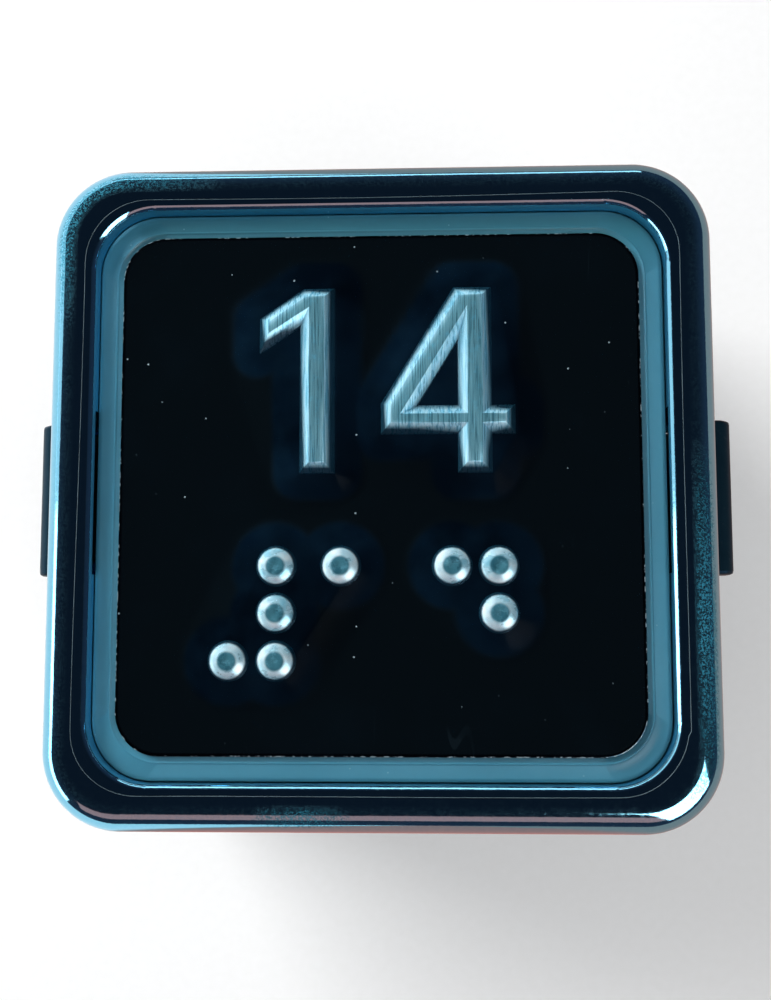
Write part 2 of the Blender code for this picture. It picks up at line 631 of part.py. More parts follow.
def make_rear_cover():
    sections = [
        (BODY_HALF - COVER_EDGE, SKIRT_CORNER - COVER_EDGE, 0),
        (BODY_HALF, SKIRT_CORNER, COVER_EDGE),
        (BODY_HALF, SKIRT_CORNER, COVER_THICK),
    ]
    cover = add("rear_cover", loft("rear_cover", sections, ring=False), BLACK_PLASTIC)
    root = COVER_THICK - OVERLAP
    rim_out = BODY_IN - 2 * FIT
    rim_in, rim_top = rim_out - COVER_RIM_WALL, COVER_THICK + COVER_RIM
    rims = at_top_and_bottom(0, COVER_RIM_HALF, rim_in, rim_out, root, rim_top)
    posts = [
        (x, y, BOARD_POST_RADIUS, root, BOARD_UNDER - TOUCH) for x, y in on_four_corners(BOARD_POST_PLACE)]
    join(cover, "rims_and_posts", boxes=rims, rods=posts)
    half_x, half_y = SHROUD_HALF_X + COVER_WINDOW_GAP, SHROUD_HALF_Y + COVER_WINDOW_GAP
    window = (-half_x, half_x, CONNECTOR_Y - half_y, CONNECTOR_Y + half_y, -OVERLAP, COVER_THICK + OVERLAP)
    head_top = SCREW_SUNK + SCREW_HEAD_HEIGHT + TOUCH
    holes = [
        (x, y, SCREW_RADIUS + 2 * FIT, head_top - OVERLAP, COVER_THICK + OVERLAP)
        for x, y in on_four_corners(BOSS_PLACE)]
    cut(cover, "window_and_screw_holes", boxes=[window], rods=holes)
    cut(cover, "counterbores", rods=[
        (x, y, SCREW_HEAD + FIT, -OVERLAP, head_top) for x, y in on_four_corners(BOSS_PLACE)])


def turned(name, profile, surface, location=(0, 0, 0)):
    """A solid of revolution from (radius, height) points, top to bottom."""
    bm = bmesh.new()
    points = [bm.verts.new((radius, 0, height)) for radius, height in profile]
    for upper, lower in zip(points, points[1:]):
        bm.edges.new((upper, lower))
    mesh = bpy.data.meshes.new(name)
    bm.to_mesh(mesh)
    bm.free()
    obj = add(name, mesh, surface, location)
    screw = obj.modifiers.new("turn", "SCREW")
    screw.steps = screw.render_steps = ROUND_SIDES
    screw.use_merge_vertices = True
    screw.merge_threshold = WELD
    return obj


def make_cover_screws():
    tip = BOSS_TOP - BOSS_FLOOR - SCREW_END_GAP
    under_head = SCREW_SUNK + SCREW_HEAD_HEIGHT
    profile = [
        (0, tip),
        (SCREW_TIP, tip),
        (SCREW_RADIUS, tip - 2 * SCREW_RADIUS),
        (SCREW_RADIUS, under_head),
        (SCREW_HEAD, under_head),
        (SCREW_HEAD, SCREW_SUNK + SCREW_HEAD_HEIGHT / 2),
        (SCREW_HEAD_FLAT, SCREW_SUNK),
        (0, SCREW_SUNK),
    ]
    for number, (x, y) in enumerate(on_four_corners(BOSS_PLACE), 1):
        turned(f"cover_screw_{number}", profile, SCREW_ZINC, (x, y, 0))


def make_circuit_board():
    half = BODY_IN - BOARD_GAP
    mesh = shapes("circuit_board", boxes=[(-half, half, -half, half, BOARD_UNDER, BOARD_TOP)])
    board = add("circuit_board", mesh, BOARD_GREEN)
    low, high = BOARD_UNDER - TOUCH, BOARD_TOP + TOUCH
    notches = on_both_sides(WING_CLEAR, BODY_HALF, NOTCH_HALF + OVERLAP, low, high)
    corners = [(x, y, BOSS_RADIUS + BOARD_GAP, low, high) for x, y in on_four_corners(BOSS_PLACE)]
    pins = [(x, y, 2 * PIN_HALF, low, high) for x, y in pin_places()]
    cut(board, "notches_and_holes", boxes=notches, rods=corners + pins)


def make_switch():
    """Key switch: a moulded base, a sheet cover folded over it, and a stem that travels."""
    base_low, base_top = BOARD_TOP + BOND, BOARD_TOP + SWITCH_BASE_HEIGHT
    half = SWITCH_HALF - SWITCH_SHEET - TOUCH
    base = add("switch_base", shapes(
        "switch_base", boxes=[(-SWITCH_HALF, SWITCH_HALF, -half, half, base_low, base_top)]), SWITCH_BLACK)
    cut(base, "bore", rods=[(0, 0, STEM_FLANGE + FIT, base_low + SWITCH_FLOOR, base_top + TOUCH)])
    sheet_low = base_top + BOND
    sheet_top = sheet_low + SWITCH_SHEET
    cover = add("switch_cover", shapes(
        "switch_cover", boxes=[(-SWITCH_HALF, SWITCH_HALF, -SWITCH_HALF, SWITCH_HALF, base_low, sheet_top)]),
        TINNED_STEEL)
    cut(cover, "channel", boxes=[
        (-SWITCH_HALF - OVERLAP, SWITCH_HALF + OVERLAP, -half - TOUCH, half + TOUCH,
         base_low - OVERLAP, sheet_low)])
    cut(cover, "hole", rods=[(0, 0, STEM_RADIUS + FIT, sheet_low - OVERLAP, sheet_top + OVERLAP)])
    profile = [
        (0, STEM_TOP),
        (STEM_RADIUS, STEM_TOP),
        (STEM_RADIUS, STEM_FLANGE_TOP),
        (STEM_FLANGE, STEM_FLANGE_TOP),
        (STEM_FLANGE, STEM_FLANGE_END),
        (0, STEM_FLANGE_END),
    ]
    turned("switch_stem", profile, STEM_WHITE)


def make_leds():
    block = add("led_block", shapes(
        "led_block", boxes=[(-LED_HALF, LED_HALF, -LED_HALF, LED_HALF, BOND, BOND + LED_HEIGHT)]))
    top = BOND + LED_HEIGHT
    cut(block, "lens", rods=[(0, 0, LED_LENS_RADIUS, top - LED_LENS_DEPTH, top + TOUCH)])
    graph = bpy.context.evaluated_depsgraph_get()
    mesh = bpy.data.meshes.new_from_object(block.evaluated_get(graph))
    for number, (x, y) in enumerate(led_places(), 1):
        add(f"led_{number}", mesh, LED_WHITE, (x, y, BOARD_TOP))


def make_resistors():
    half_x, half_y = RESISTOR_LENGTH / 2, RESISTOR_WIDTH / 2
    mesh = shapes("resistor", boxes=[(-half_x, half_x, -half_y, half_y, BOND, BOND + RESISTOR_HEIGHT)])
    for number, (x, y) in enumerate(MIRROR_SIGNS, 1):
        add(f"resistor_{number}", mesh, RESISTOR_BLACK, (x * RESISTOR_X, y * RESISTOR_Y, BOARD_TOP))


def make_connector():
    """Pin header on the board's rear side, with its mouth just inside the rear face."""
    low_y, high_y = CONNECTOR_Y - SHROUD_HALF_Y, CONNECTOR_Y + SHROUD_HALF_Y
    top = BOARD_UNDER - TOUCH
    outer = (-SHROUD_HALF_X, SHROUD_HALF_X, low_y, high_y, SHROUD_MOUTH, top)
    shroud = add("connector_shroud", shapes("connector_shroud", boxes=[outer]), SHROUD_IVORY)
    in_x, in_low, in_high = SHROUD_HALF_X - SHROUD_WALL, low_y + SHROUD_WALL, high_y - SHROUD_WALL
    cut(shroud, "cavity", boxes=[
        (-in_x, in_x, in_low, in_high, SHROUD_MOUTH - OVERLAP, top - SHROUD_FLOOR)])
    pin_hole = PIN_HALF + TOUCH
    holes = [
        (x - pin_hole, x + pin_hole, y - pin_hole, y + pin_hole, top - SHROUD_FLOOR - OVERLAP, top + OVERLAP)
        for x, y in pin_places()]
    keys = [
        (x - SHROUD_KEY_HALF, x + SHROUD_KEY_HALF, low_y - OVERLAP, in_low + OVERLAP,
         SHROUD_MOUTH - OVERLAP, SHROUD_MOUTH + SHROUD_KEY_DEPTH)
        for x in (-SHROUD_KEY_PLACE, SHROUD_KEY_PLACE)]
    cut(shroud, "pin_holes_and_keys", boxes=holes + keys)
    pin = shapes("connector_pin", boxes=[
        (-PIN_HALF, PIN_HALF, -PIN_HALF, PIN_HALF, PIN_MOUTH, BOARD_TOP + PIN_TAIL)])
    for number, (x, y) in enumerate(pin_places(), 1):
        add(f"connector_pin_{number}", pin, PIN_TIN, (x, y, 0))


make_bezel()
make_face_plate()
make_protective_film()
make_adhesive_pad()
make_light_ring_cap()
make_housing()
make_panel_wings()
make_return_springs()
make_rear_cover()
make_cover_screws()
make_circuit_board()
make_switch()
make_leds()
make_resistors()
make_connector()
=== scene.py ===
import math

import bmesh
import bpy
import numpy as np
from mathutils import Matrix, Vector


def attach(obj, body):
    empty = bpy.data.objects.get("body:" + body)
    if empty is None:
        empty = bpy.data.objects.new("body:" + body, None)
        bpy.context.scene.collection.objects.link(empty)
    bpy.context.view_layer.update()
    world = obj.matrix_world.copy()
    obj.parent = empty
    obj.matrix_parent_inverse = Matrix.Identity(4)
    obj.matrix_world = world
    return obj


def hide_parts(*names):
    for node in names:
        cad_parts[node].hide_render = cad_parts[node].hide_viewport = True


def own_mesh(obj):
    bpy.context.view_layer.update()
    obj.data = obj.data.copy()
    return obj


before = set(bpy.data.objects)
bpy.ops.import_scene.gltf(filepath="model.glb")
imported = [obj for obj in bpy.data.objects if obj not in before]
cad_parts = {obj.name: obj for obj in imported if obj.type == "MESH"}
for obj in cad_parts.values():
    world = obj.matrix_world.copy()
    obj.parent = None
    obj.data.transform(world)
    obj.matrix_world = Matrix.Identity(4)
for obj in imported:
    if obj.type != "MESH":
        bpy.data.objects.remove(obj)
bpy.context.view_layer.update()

# Housing
# The black ABS box that carries every other piece, injection moulded in one shot. Its mould was
# spark eroded, so the faces have a fine even grain, and the edges are a little rounded.
MM = 0.001


def linear(code):
    """Turns an sRGB hex colour into the linear colour that a shader takes."""
    parts = [int(code[i:i + 2], 16) / 255 for i in (1, 3, 5)]
    return (*(p / 12.92 if p <= 0.04045 else ((p + 0.055) / 1.055) ** 2.4 for p in parts), 1.0)


def add_node(tree, kind, inputs=None, **settings):
    """Adds one node with its settings; each input takes a value or another node's output."""
    node = tree.nodes.new(kind)
    for name, value in settings.items():
        setattr(node, name, value)
    for key, value in (inputs or {}).items():
        if isinstance(value, bpy.types.NodeSocket):
            tree.links.new(value, node.inputs[key])
        else:
            node.inputs[key].default_value = value
    return node


def start_material(name, **sockets):
    """A new material's tree, its shader with fixed values set, and the piece's own coordinates."""
    material = bpy.data.materials.new(name)
    material.use_nodes = True
    tree = material.node_tree
    shader = tree.nodes["Principled BSDF"]
    for socket, value in sockets.items():
        shader.inputs[socket.replace("_", " ")].default_value = value
    place = add_node(tree, "ShaderNodeTexCoord").outputs["Object"]
    return material, tree, shader, place


def dress(shader, **outputs):
    """Links the outputs of nodes to the shader's inputs of those names."""
    for socket, output in outputs.items():
        shader.id_data.links.new(output, shader.inputs[socket.replace("_", " ")])


def as_piece(name, form, material, smooth_up_to=35):
    """Makes a mesh piece from a bmesh, shaded smooth wherever its faces meet at a low angle."""
    mesh = bpy.data.meshes.new(name)
    form.to_mesh(mesh)
    form.free()
    mesh.materials.append(material)
    mesh.polygons.foreach_set("use_smooth", [True] * len(mesh.polygons))
    mesh.set_sharp_from_angle(angle=math.radians(smooth_up_to))
    piece = bpy.data.objects.new(name, mesh)
    bpy.context.scene.collection.objects.link(piece)
    return piece


def settle(piece):
    """Turns a piece's modifiers into plain mesh."""
    graph = bpy.context.evaluated_depsgraph_get()
    mesh = bpy.data.meshes.new_from_object(piece.evaluated_get(graph))
    piece.modifiers.clear()
    piece.data = mesh
    return piece


def stand_in(piece, body, slot, *nodes):
    """Lets a piece move with a body, in place of the CAD nodes that it shows more finely."""
    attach(piece, body)
    if nodes:
        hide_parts(*nodes)


def welded(node):
    """A CAD node's mesh with its loose triangles joined into whole faces."""
    form = bmesh.new()
    form.from_mesh(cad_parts[node].data)
    bmesh.ops.remove_doubles(form, verts=form.verts, dist=0.002 * MM)
    bmesh.ops.dissolve_limit(form, angle_limit=math.radians(0.5), verts=form.verts, edges=form.edges)
    return form


def softened(node, body, slot, material, edge):
    """Shows a CAD node with softened edges, as a mould leaves them."""
    piece = as_piece(node + "_shown", welded(node), material)
    if edge:
        bevel = piece.modifiers.new("edges", "BEVEL")
        bevel.width = edge
        bevel.segments = 2
        bevel.limit_method = "ANGLE"
        bevel.angle_limit = math.radians(50)
        bevel.use_clamp_overlap = True
    piece.modifiers.new("shading", "WEIGHTED_NORMAL").keep_sharp = True
    settle(piece)
    stand_in(piece, body, slot, node)
    return piece


# Black ABS from a spark-eroded mould: a dull, faintly uneven black with fine grain in the gloss.
abs_plastic, tree, shader, place = start_material("moulded_black_abs", IOR=1.54, Specular_IOR_Level=0.2)
GRAIN = 0.16  # mm
grain = add_node(tree, "ShaderNodeTexNoise",
                 {"Vector": place, "Scale": 1000 / GRAIN, "Detail": 3.0, "Roughness": 0.6}).outputs["Fac"]
flow = add_node(tree, "ShaderNodeTexNoise",
                {"Vector": place, "Scale": 1000 / 7.0, "Detail": 4.0}).outputs["Fac"]
shade = add_node(tree, "ShaderNodeMix", {0: flow, 6: linear("#14181B"), 7: linear("#22272B")},
                 data_type="RGBA").outputs[2]
gloss = add_node(tree, "ShaderNodeMapRange", {0: grain, 3: 0.42, 4: 0.62}).outputs[0]
texture = add_node(tree, "ShaderNodeBump",
                   {"Strength": 0.5, "Distance": 0.012 * MM, "Height": grain}).outputs[0]
dress(shader, Base_Color=shade, Roughness=gloss, Normal=texture)
softened("housing", "body", "black_plastic", abs_plastic, 0.12 * MM)

# Return springs
# Four cold-wound coils of drawn spring steel wire, one round each guide post of the cap. They stand
# in cups in the housing's deck and push the cap up against its hooks.
SPRING_PLACE = 11.35 * MM
SPRING_FOOT = 11.9 * MM
SPRING_TOP = 17.8 * MM
WIRE = 0.2 * MM
COIL = 1.25 * MM


def start_tree(name, **sizes):
    """A Geometry Nodes tree with one named input for each size."""
    tree = bpy.data.node_groups.new(name, "GeometryNodeTree")
    tree.interface.new_socket("Geometry", in_out="INPUT", socket_type="NodeSocketGeometry")
    tree.interface.new_socket("Geometry", in_out="OUTPUT", socket_type="NodeSocketGeometry")
    for label in sizes:
        tree.interface.new_socket(label, in_out="INPUT", socket_type="NodeSocketFloat")
    return tree, add_node(tree, "NodeGroupInput").outputs


def grown(name, start, tree, geometry, material, **sizes):
    """Ends a Geometry Nodes tree, runs it on a starting mesh, and keeps the result as plain mesh."""
    whole = add_node(tree, "GeometryNodeRealizeInstances", {"Geometry": geometry})
    dressed = add_node(tree, "GeometryNodeSetMaterial",
                       {"Geometry": whole.outputs[0], "Material": material})
    add_node(tree, "NodeGroupOutput", {0: dressed.outputs[0]})
    piece = bpy.data.objects.new(name, start)
    bpy.context.scene.collection.objects.link(piece)
    maker = piece.modifiers.new("made", "NODES")
    maker.node_group = tree
    for item in tree.interface.items_tree:
        if item.name in sizes:
            maker[item.identifier] = sizes[item.name]
    return settle(piece)


def mottled(name, size, detail, colours, gloss, **sockets):
    """A material that wavers between two colours and two roughnesses, in patches of a size in mm."""
    material, tree, shader, place = start_material(name, **sockets)
    patches = add_node(tree, "ShaderNodeTexNoise",
                       {"Vector": place, "Scale": 1000 / size, "Detail": detail}).outputs["Fac"]
    shade = add_node(tree, "ShaderNodeMix", {0: patches, 6: linear(colours[0]), 7: linear(colours[1])},
                     data_type="RGBA").outputs[2]
    rough = add_node(tree, "ShaderNodeMapRange", {0: patches, 3: gloss[0], 4: gloss[1]}).outputs[0]
    dress(shader, Base_Color=shade, Roughness=rough)
    return material


# Drawn spring steel: a grey metal with a soft shine and fine die lines along the wire.
spring_steel = mottled("drawn_spring_steel", 0.12, 2.0, ("#858B91", "#B4BAC0"), (0.22, 0.4), Metallic=1.0)

sizes = {"place": SPRING_PLACE, "coil": COIL, "wire": WIRE,
         "height": SPRING_TOP - SPRING_FOOT - 2 * WIRE}
tree, given = start_tree("return_spring", **sizes)
spread = add_node(tree, "ShaderNodeMath", {0: given["place"], 1: 2.0}, operation="MULTIPLY").outputs[0]
posts = add_node(tree, "GeometryNodeMeshGrid",
                 {"Size X": spread, "Size Y": spread, "Vertices X": 2, "Vertices Y": 2}).outputs[0]
helix = add_node(tree, "GeometryNodeCurveSpiral",
                 {"Resolution": 28, "Rotations": 5.0, "Start Radius": given["coil"],
                  "End Radius": given["coil"], "Height": given["height"]}).outputs[0]
round_wire = add_node(tree, "GeometryNodeCurvePrimitiveCircle",
                      {"Resolution": 10, "Radius": given["wire"]}).outputs[0]
coil = add_node(tree, "GeometryNodeCurveToMesh",
                {"Curve": helix, "Profile Curve": round_wire, "Fill Caps": True}).outputs[0]
springs = add_node(tree, "GeometryNodeInstanceOnPoints", {"Points": posts, "Instance": coil}).outputs[0]
seated = add_node(tree, "GeometryNodeTransform",
                  {"Geometry": springs, "Translation": (0, 0, SPRING_FOOT + WIRE)}).outputs[0]
piece = grown("return_springs", bpy.data.meshes.new("return_springs"), tree, seated, spring_steel, **sizes)
stand_in(piece, "body", "spring_steel", "return_spring_1", "return_spring_2", "return_spring_3",
         "return_spring_4")
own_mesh(piece)

# Light ring cap
# A moulded translucent polycarbonate cap. Its flat rim shows round the plate as the light ring, and
# its posts, guides, actuator and hooks reach down into the housing and are moulded with it.
CAP_UNDER = 17.9
CORNER_STEPS = 24


def rounded_square(half, corner, steps=CORNER_STEPS, side_steps=1):
    """Points round a square with rounded corners, anticlockwise, in millimetres."""
    points = []
    straight = half - corner
    for turn in range(4):
        c, s = (1, 0, -1, 0)[turn], (0, 1, 0, -1)[turn]
        for i in range(side_steps):
            along = straight * (2 * i / side_steps - 1)
            points.append((half * c - along * s, half * s + along * c))
        for i in range(steps):
            a = math.radians(90 * i / steps)
            x, y = straight + corner * math.cos(a), straight + corner * math.sin(a)
            points.append((x * c - y * s, x * s + y * c))
    return points


def band(form, low, high):
    """Joins two loops of points by a ring of faces."""
    for i in range(len(low)):
        j = (i + 1) % len(low)
        form.faces.new((low[i], low[j], high[j], high[i]))


def loops_through(form, sections):
    """Joins rounded-square sections of (half side, corner, height in mm) by bands of faces."""
    loops = [[form.verts.new((x * MM, y * MM, height * MM)) for x, y in rounded_square(half, corner)]
             for half, corner, height in sections]
    for low, high in zip(loops, loops[1:]):
        band(form, low, high)
    return loops


def round_edge(half, corner, height, radius, start, end, steps):
    """Sections round an edge, where the circle's middle is at (half, height) and angles are degrees."""
    turns = [math.radians(start + (end - start) * i / steps) for i in range(steps + 1)]
    return [(half + radius * math.cos(a), corner + radius * math.cos(a), height + radius * math.sin(a))
            for a in turns]


# Polycarbonate with a blue-green diffuser: a flat, evenly cloudy teal with a satin shine. It is painted
# a little darker along the top, as shade from the bezel's wall.
diffuser, tree, shader, place = start_material("teal_polycarbonate", IOR=1.585, Subsurface_Weight=0.12,
                                               Subsurface_Scale=0.4 * MM, Subsurface_Radius=(0.4, 0.9, 1.0))
cloud = add_node(tree, "ShaderNodeTexNoise",
                 {"Vector": place, "Scale": 1000 / 6.0, "Detail": 5.0, "Roughness": 0.6}).outputs["Fac"]
speck = add_node(tree, "ShaderNodeTexVoronoi", {"Vector": place, "Scale": 1000 / 0.9}).outputs["Distance"]
dust = add_node(tree, "ShaderNodeMapRange", {0: speck, 1: 0.06, 2: 0.03, 3: 0.0, 4: 0.55}).outputs[0]
shade = add_node(tree, "ShaderNodeMix", {0: cloud, 6: linear("#4389A3"), 7: linear("#529CB7")},
                 data_type="RGBA").outputs[2]
# Painted shade: the colour darkens towards the top of the ring, where the bezel's wall shades it.
top = add_node(tree, "ShaderNodeSeparateXYZ", {0: place}).outputs["Y"]
top = add_node(tree, "ShaderNodeMapRange", {0: top, 1: 12 * MM, 2: 14.5 * MM, 3: 0.0, 4: 0.85}).outputs[0]
shade = add_node(tree, "ShaderNodeMix", {0: top, 6: shade, 7: linear("#33707F")}, data_type="RGBA").outputs[2]
dusty = add_node(tree, "ShaderNodeMix", {0: dust, 6: shade, 7: linear("#9CC3CF")},
                 data_type="RGBA").outputs[2]
gloss = add_node(tree, "ShaderNodeMapRange", {0: cloud, 3: 0.25, 4: 0.45}).outputs[0]
drawn = add_node(tree, "ShaderNodeTexNoise",
                 {"Vector": place, "Scale": 1000 / 0.3, "Detail": 2.0}).outputs["Fac"]
texture = add_node(tree, "ShaderNodeBump",
                   {"Strength": 0.2, "Distance": 0.008 * MM, "Height": drawn}).outputs[0]
dress(shader, Base_Color=dusty, Roughness=gloss, Normal=texture)

form = welded("light_ring_cap")
bmesh.ops.bisect_plane(form, geom=form.verts[:] + form.edges[:] + form.faces[:], dist=1e-7,
                       plane_co=(0, 0, (CAP_UNDER + 0.1) * MM), plane_no=(0, 0, 1), clear_outer=True)
# From the cap's underside up past a thin moulding flash, over the edge, and in along the ring, which has
# a fine bead near the plate, to the glue pad's pocket.
rim = [(15.25, 3.05, CAP_UNDER), (15.35, 3.15, CAP_UNDER + 0.1), (15.35, 3.15, 19.1), (15.46, 3.26, 19.14),
       (15.46, 3.26, 19.2), (15.36, 3.16, 19.26), (15.2, 3.0, 19.3)]
rim += [(14.6, 2.8, 19.3), (14.55, 2.75, 19.34), (14.49, 2.69, 19.37), (14.43, 2.63, 19.34),
        (14.38, 2.58, 19.3), (13.45, 1.7, 19.3), (13.45, 1.7, 19.05)]
loops = loops_through(form, rim)
form.faces.new(loops[0][::-1])
form.faces.new(loops[-1])
piece = as_piece("light_ring_cap_shown", form, diffuser, 28)
piece.modifiers.new("shading", "WEIGHTED_NORMAL").keep_sharp = True
stand_in(settle(piece), "face", "light_ring", "light_ring_cap")

# Glue pad
# A die-cut square of grey acrylic foam, glued on both sides, in the cap's pocket under the plate.

# Acrylic foam: a dull grey, pitted by cut cells.
foam, tree, shader, place = start_material("acrylic_foam", IOR=1.48, Roughness=0.85)
cells = add_node(tree, "ShaderNodeTexVoronoi", {"Vector": place, "Scale": 1000 / 0.25}).outputs["Distance"]
shade = add_node(tree, "ShaderNodeMix", {0: cells, 6: linear("#4A4E50"), 7: linear("#74797B")},
                 data_type="RGBA").outputs[2]
texture = add_node(tree, "ShaderNodeBump",
                   {"Strength": 0.6, "Distance": 0.05 * MM, "Height": cells}).outputs[0]
dress(shader, Base_Color=shade, Normal=texture)
softened("adhesive_pad", "face", "adhesive_foam", foam, 0)

# Face plate
# A blank of stainless steel, polished to a mirror and blackened, with a fine chamfer round its edge.
# It is glued on the cap, and carries the raised figures.
PLATE_TOP = 19.65

# Blackened mirror steel: a deep blue-black mirror with dust of two sizes, hairlines, smudges and a
# nicked edge, whose pale nicks are also a painted highlight along the chamfer.
mirror_steel, tree, shader, place = start_material("blackened_mirror_steel")
dust = []
for spacing, reach in ((1.15, 0.06), (3.3, 0.03)):  # mm between specks, and their size as a share of it
    cell = add_node(tree, "ShaderNodeTexVoronoi", {"Vector": place, "Scale": 1000 / spacing})
    speck = add_node(tree, "ShaderNodeMapRange",
                     {0: cell.outputs["Distance"], 1: reach, 2: reach / 2}).outputs[0]
    lucky = add_node(tree, "ShaderNodeSeparateColor", {0: cell.outputs["Color"]}).outputs[0]
    lucky = add_node(tree, "ShaderNodeMapRange", {0: lucky, 1: 0.4, 2: 1.0, 3: 0.0, 4: 0.9}).outputs[0]
    dust.append(add_node(tree, "ShaderNodeMath", {0: speck, 1: lucky}, operation="MULTIPLY").outputs[0])
dust = add_node(tree, "ShaderNodeMath", {0: dust[0], 1: dust[1]}, operation="MAXIMUM").outputs[0]
stretched = add_node(tree, "ShaderNodeMapping",
                     {"Vector": place, "Rotation": (0, 0, math.radians(80)),
                      "Scale": (1000 / 6.0, 1000 / 60, 1.0)}).outputs[0]
strands = add_node(tree, "ShaderNodeTexNoise",
                   {"Vector": stretched, "Scale": 1.0, "Detail": 1.0}).outputs["Fac"]
middle = add_node(tree, "ShaderNodeMath", {0: strands, 1: 0.5, 2: 0.0012}, operation="COMPARE").outputs[0]
patches = add_node(tree, "ShaderNodeTexNoise",
                   {"Vector": place, "Scale": 1000 / 5.0, "Detail": 3.0}).outputs["Fac"]
hairs = add_node(tree, "ShaderNodeMapRange", {0: patches, 1: 0.54, 2: 0.66, 3: 0.0, 4: 0.06}).outputs[0]
hairs = add_node(tree, "ShaderNodeMath", {0: middle, 1: hairs}, operation="MULTIPLY").outputs[0]
marks = add_node(tree, "ShaderNodeMath", {0: dust, 1: hairs}, operation="MAXIMUM").outputs[0]
facing = add_node(tree, "ShaderNodeSeparateXYZ",
                  {0: add_node(tree, "ShaderNodeNewGeometry").outputs["Normal"]}).outputs["Z"]
# Pale nicks on the chamfer only: partly a worn edge, partly a painted highlight along the plate's edge.
edge = add_node(tree, "ShaderNodeMapRange", {0: facing, 1: 0.998, 2: 0.96, 3: 0.0, 4: 0.7}).outputs[0]
nicks_and_glints = add_node(tree, "ShaderNodeTexNoise",
                 {"Vector": place, "Scale": 1000 / 0.3, "Detail": 3.0}).outputs["Fac"]
nicks_and_glints = add_node(tree, "ShaderNodeMapRange", {0: nicks_and_glints, 1: 0.5, 2: 0.62}).outputs[0]
nicks_and_glints = add_node(tree, "ShaderNodeMath", {0: nicks_and_glints, 1: edge}, operation="MULTIPLY").outputs[0]
marks = add_node(tree, "ShaderNodeMath", {0: marks, 1: nicks_and_glints}, operation="MAXIMUM").outputs[0]
smear = add_node(tree, "ShaderNodeMapRange", {0: patches, 1: 0.52, 2: 0.75}).outputs[0]
shade = add_node(tree, "ShaderNodeMix", {0: smear, 6: linear("#2B3A45"), 7: linear("#35515F")},
                 data_type="RGBA").outputs[2]
dusty = add_node(tree, "ShaderNodeMix", {0: marks, 6: shade, 7: linear("#A9C2CA")},
                 data_type="RGBA").outputs[2]
bare = add_node(tree, "ShaderNodeMath", {0: 1.0, 1: marks}, operation="SUBTRACT").outputs[0]
dull = add_node(tree, "ShaderNodeMapRange", {0: smear, 3: 0.05, 4: 0.14}).outputs[0]
rough = add_node(tree, "ShaderNodeMath", {0: marks, 1: dull}, operation="MAXIMUM").outputs[0]
dress(shader, Base_Color=dusty, Metallic=bare, Roughness=rough)

form = bmesh.new()
loops = loops_through(form, [(14.09, 2.34, PLATE_TOP - 0.3), (14.15, 2.4, PLATE_TOP - 0.25),
                             (14.15, 2.4, PLATE_TOP - 0.12), (14.12, 2.37, PLATE_TOP - 0.04),
                             (14.03, 2.28, PLATE_TOP)])
form.faces.new(loops[0][::-1])
form.faces.new(loops[-1])
piece = as_piece("face_plate_shown", form, mirror_steel, 25)
piece.modifiers.new("shading", "WEIGHTED_NORMAL").keep_sharp = True
stand_in(settle(piece), "face", "plate_steel", "face_plate")

# Raised figures
# A two-figure floor number of plain straight strokes, coined in steel with bevelled flanks and riveted
# through the plate. The flat tops are brushed upright; the flanks are satin, painted paler as a sheen
# and painted dark at their steep foot.
# The flank goes from the foot to the top, as steps in from the outline and up from the plate.
FLANK = [(0.0, -0.02), (0.0, 0.2), (0.03, 0.29), (0.5, 0.68), (0.56, 0.72)]
ONE = [(-4.3, 0.95), (-2.4, 0.95), (-2.4, 11.1), (-4.1, 11.1), (-6.5, 9.45), (-6.5, 7.55), (-4.3, 9.0)]
FOUR = [(4.25, 0.95), (6.1, 0.95), (6.1, 3.05), (7.35, 3.05), (7.35, 4.6), (6.1, 4.6), (6.1, 11.1),
        (4.05, 11.1), (0.1, 4.7), (0.1, 3.05), (4.25, 3.05)]
FOUR_EYE = [(4.25, 4.6), (2.1, 4.6), (4.25, 8.1)]


def drawn_in(outline, depth):
    """An outline moved into its own material by a depth, with its corners kept sharp."""
    points = np.array(outline, float)
    ahead = np.roll(points, -1, axis=0) - points
    ahead /= np.linalg.norm(ahead, axis=1)[:, None]
    left = np.stack([-ahead[:, 1], ahead[:, 0]], axis=1)
    before = np.roll(left, 1, axis=0)
    return points + depth * (left + before) / (1 + (left * before).sum(axis=1))[:, None]


def raise_figure(form, *outlines):
    """Builds one figure with bevelled flanks up from the plate, round its holes too."""
    feet, rims = [], []
    for outline in outlines:
        loops = [[form.verts.new((x * MM, y * MM, (PLATE_TOP + up) * MM))
                  for x, y in drawn_in(outline, depth)] for depth, up in FLANK]
        for low, high in zip(loops, loops[1:]):
            band(form, low, high)
        feet += [form.edges.get((loops[0][i - 1], loops[0][i])) for i in range(len(outline))]
        rims += [form.edges.get((loops[-1][i - 1], loops[-1][i])) for i in range(len(outline))]
    bmesh.ops.triangle_fill(form, edges=feet, use_beauty=True, normal=(0, 0, -1))
    bmesh.ops.triangle_fill(form, edges=rims, use_beauty=True, normal=(0, 0, 1))


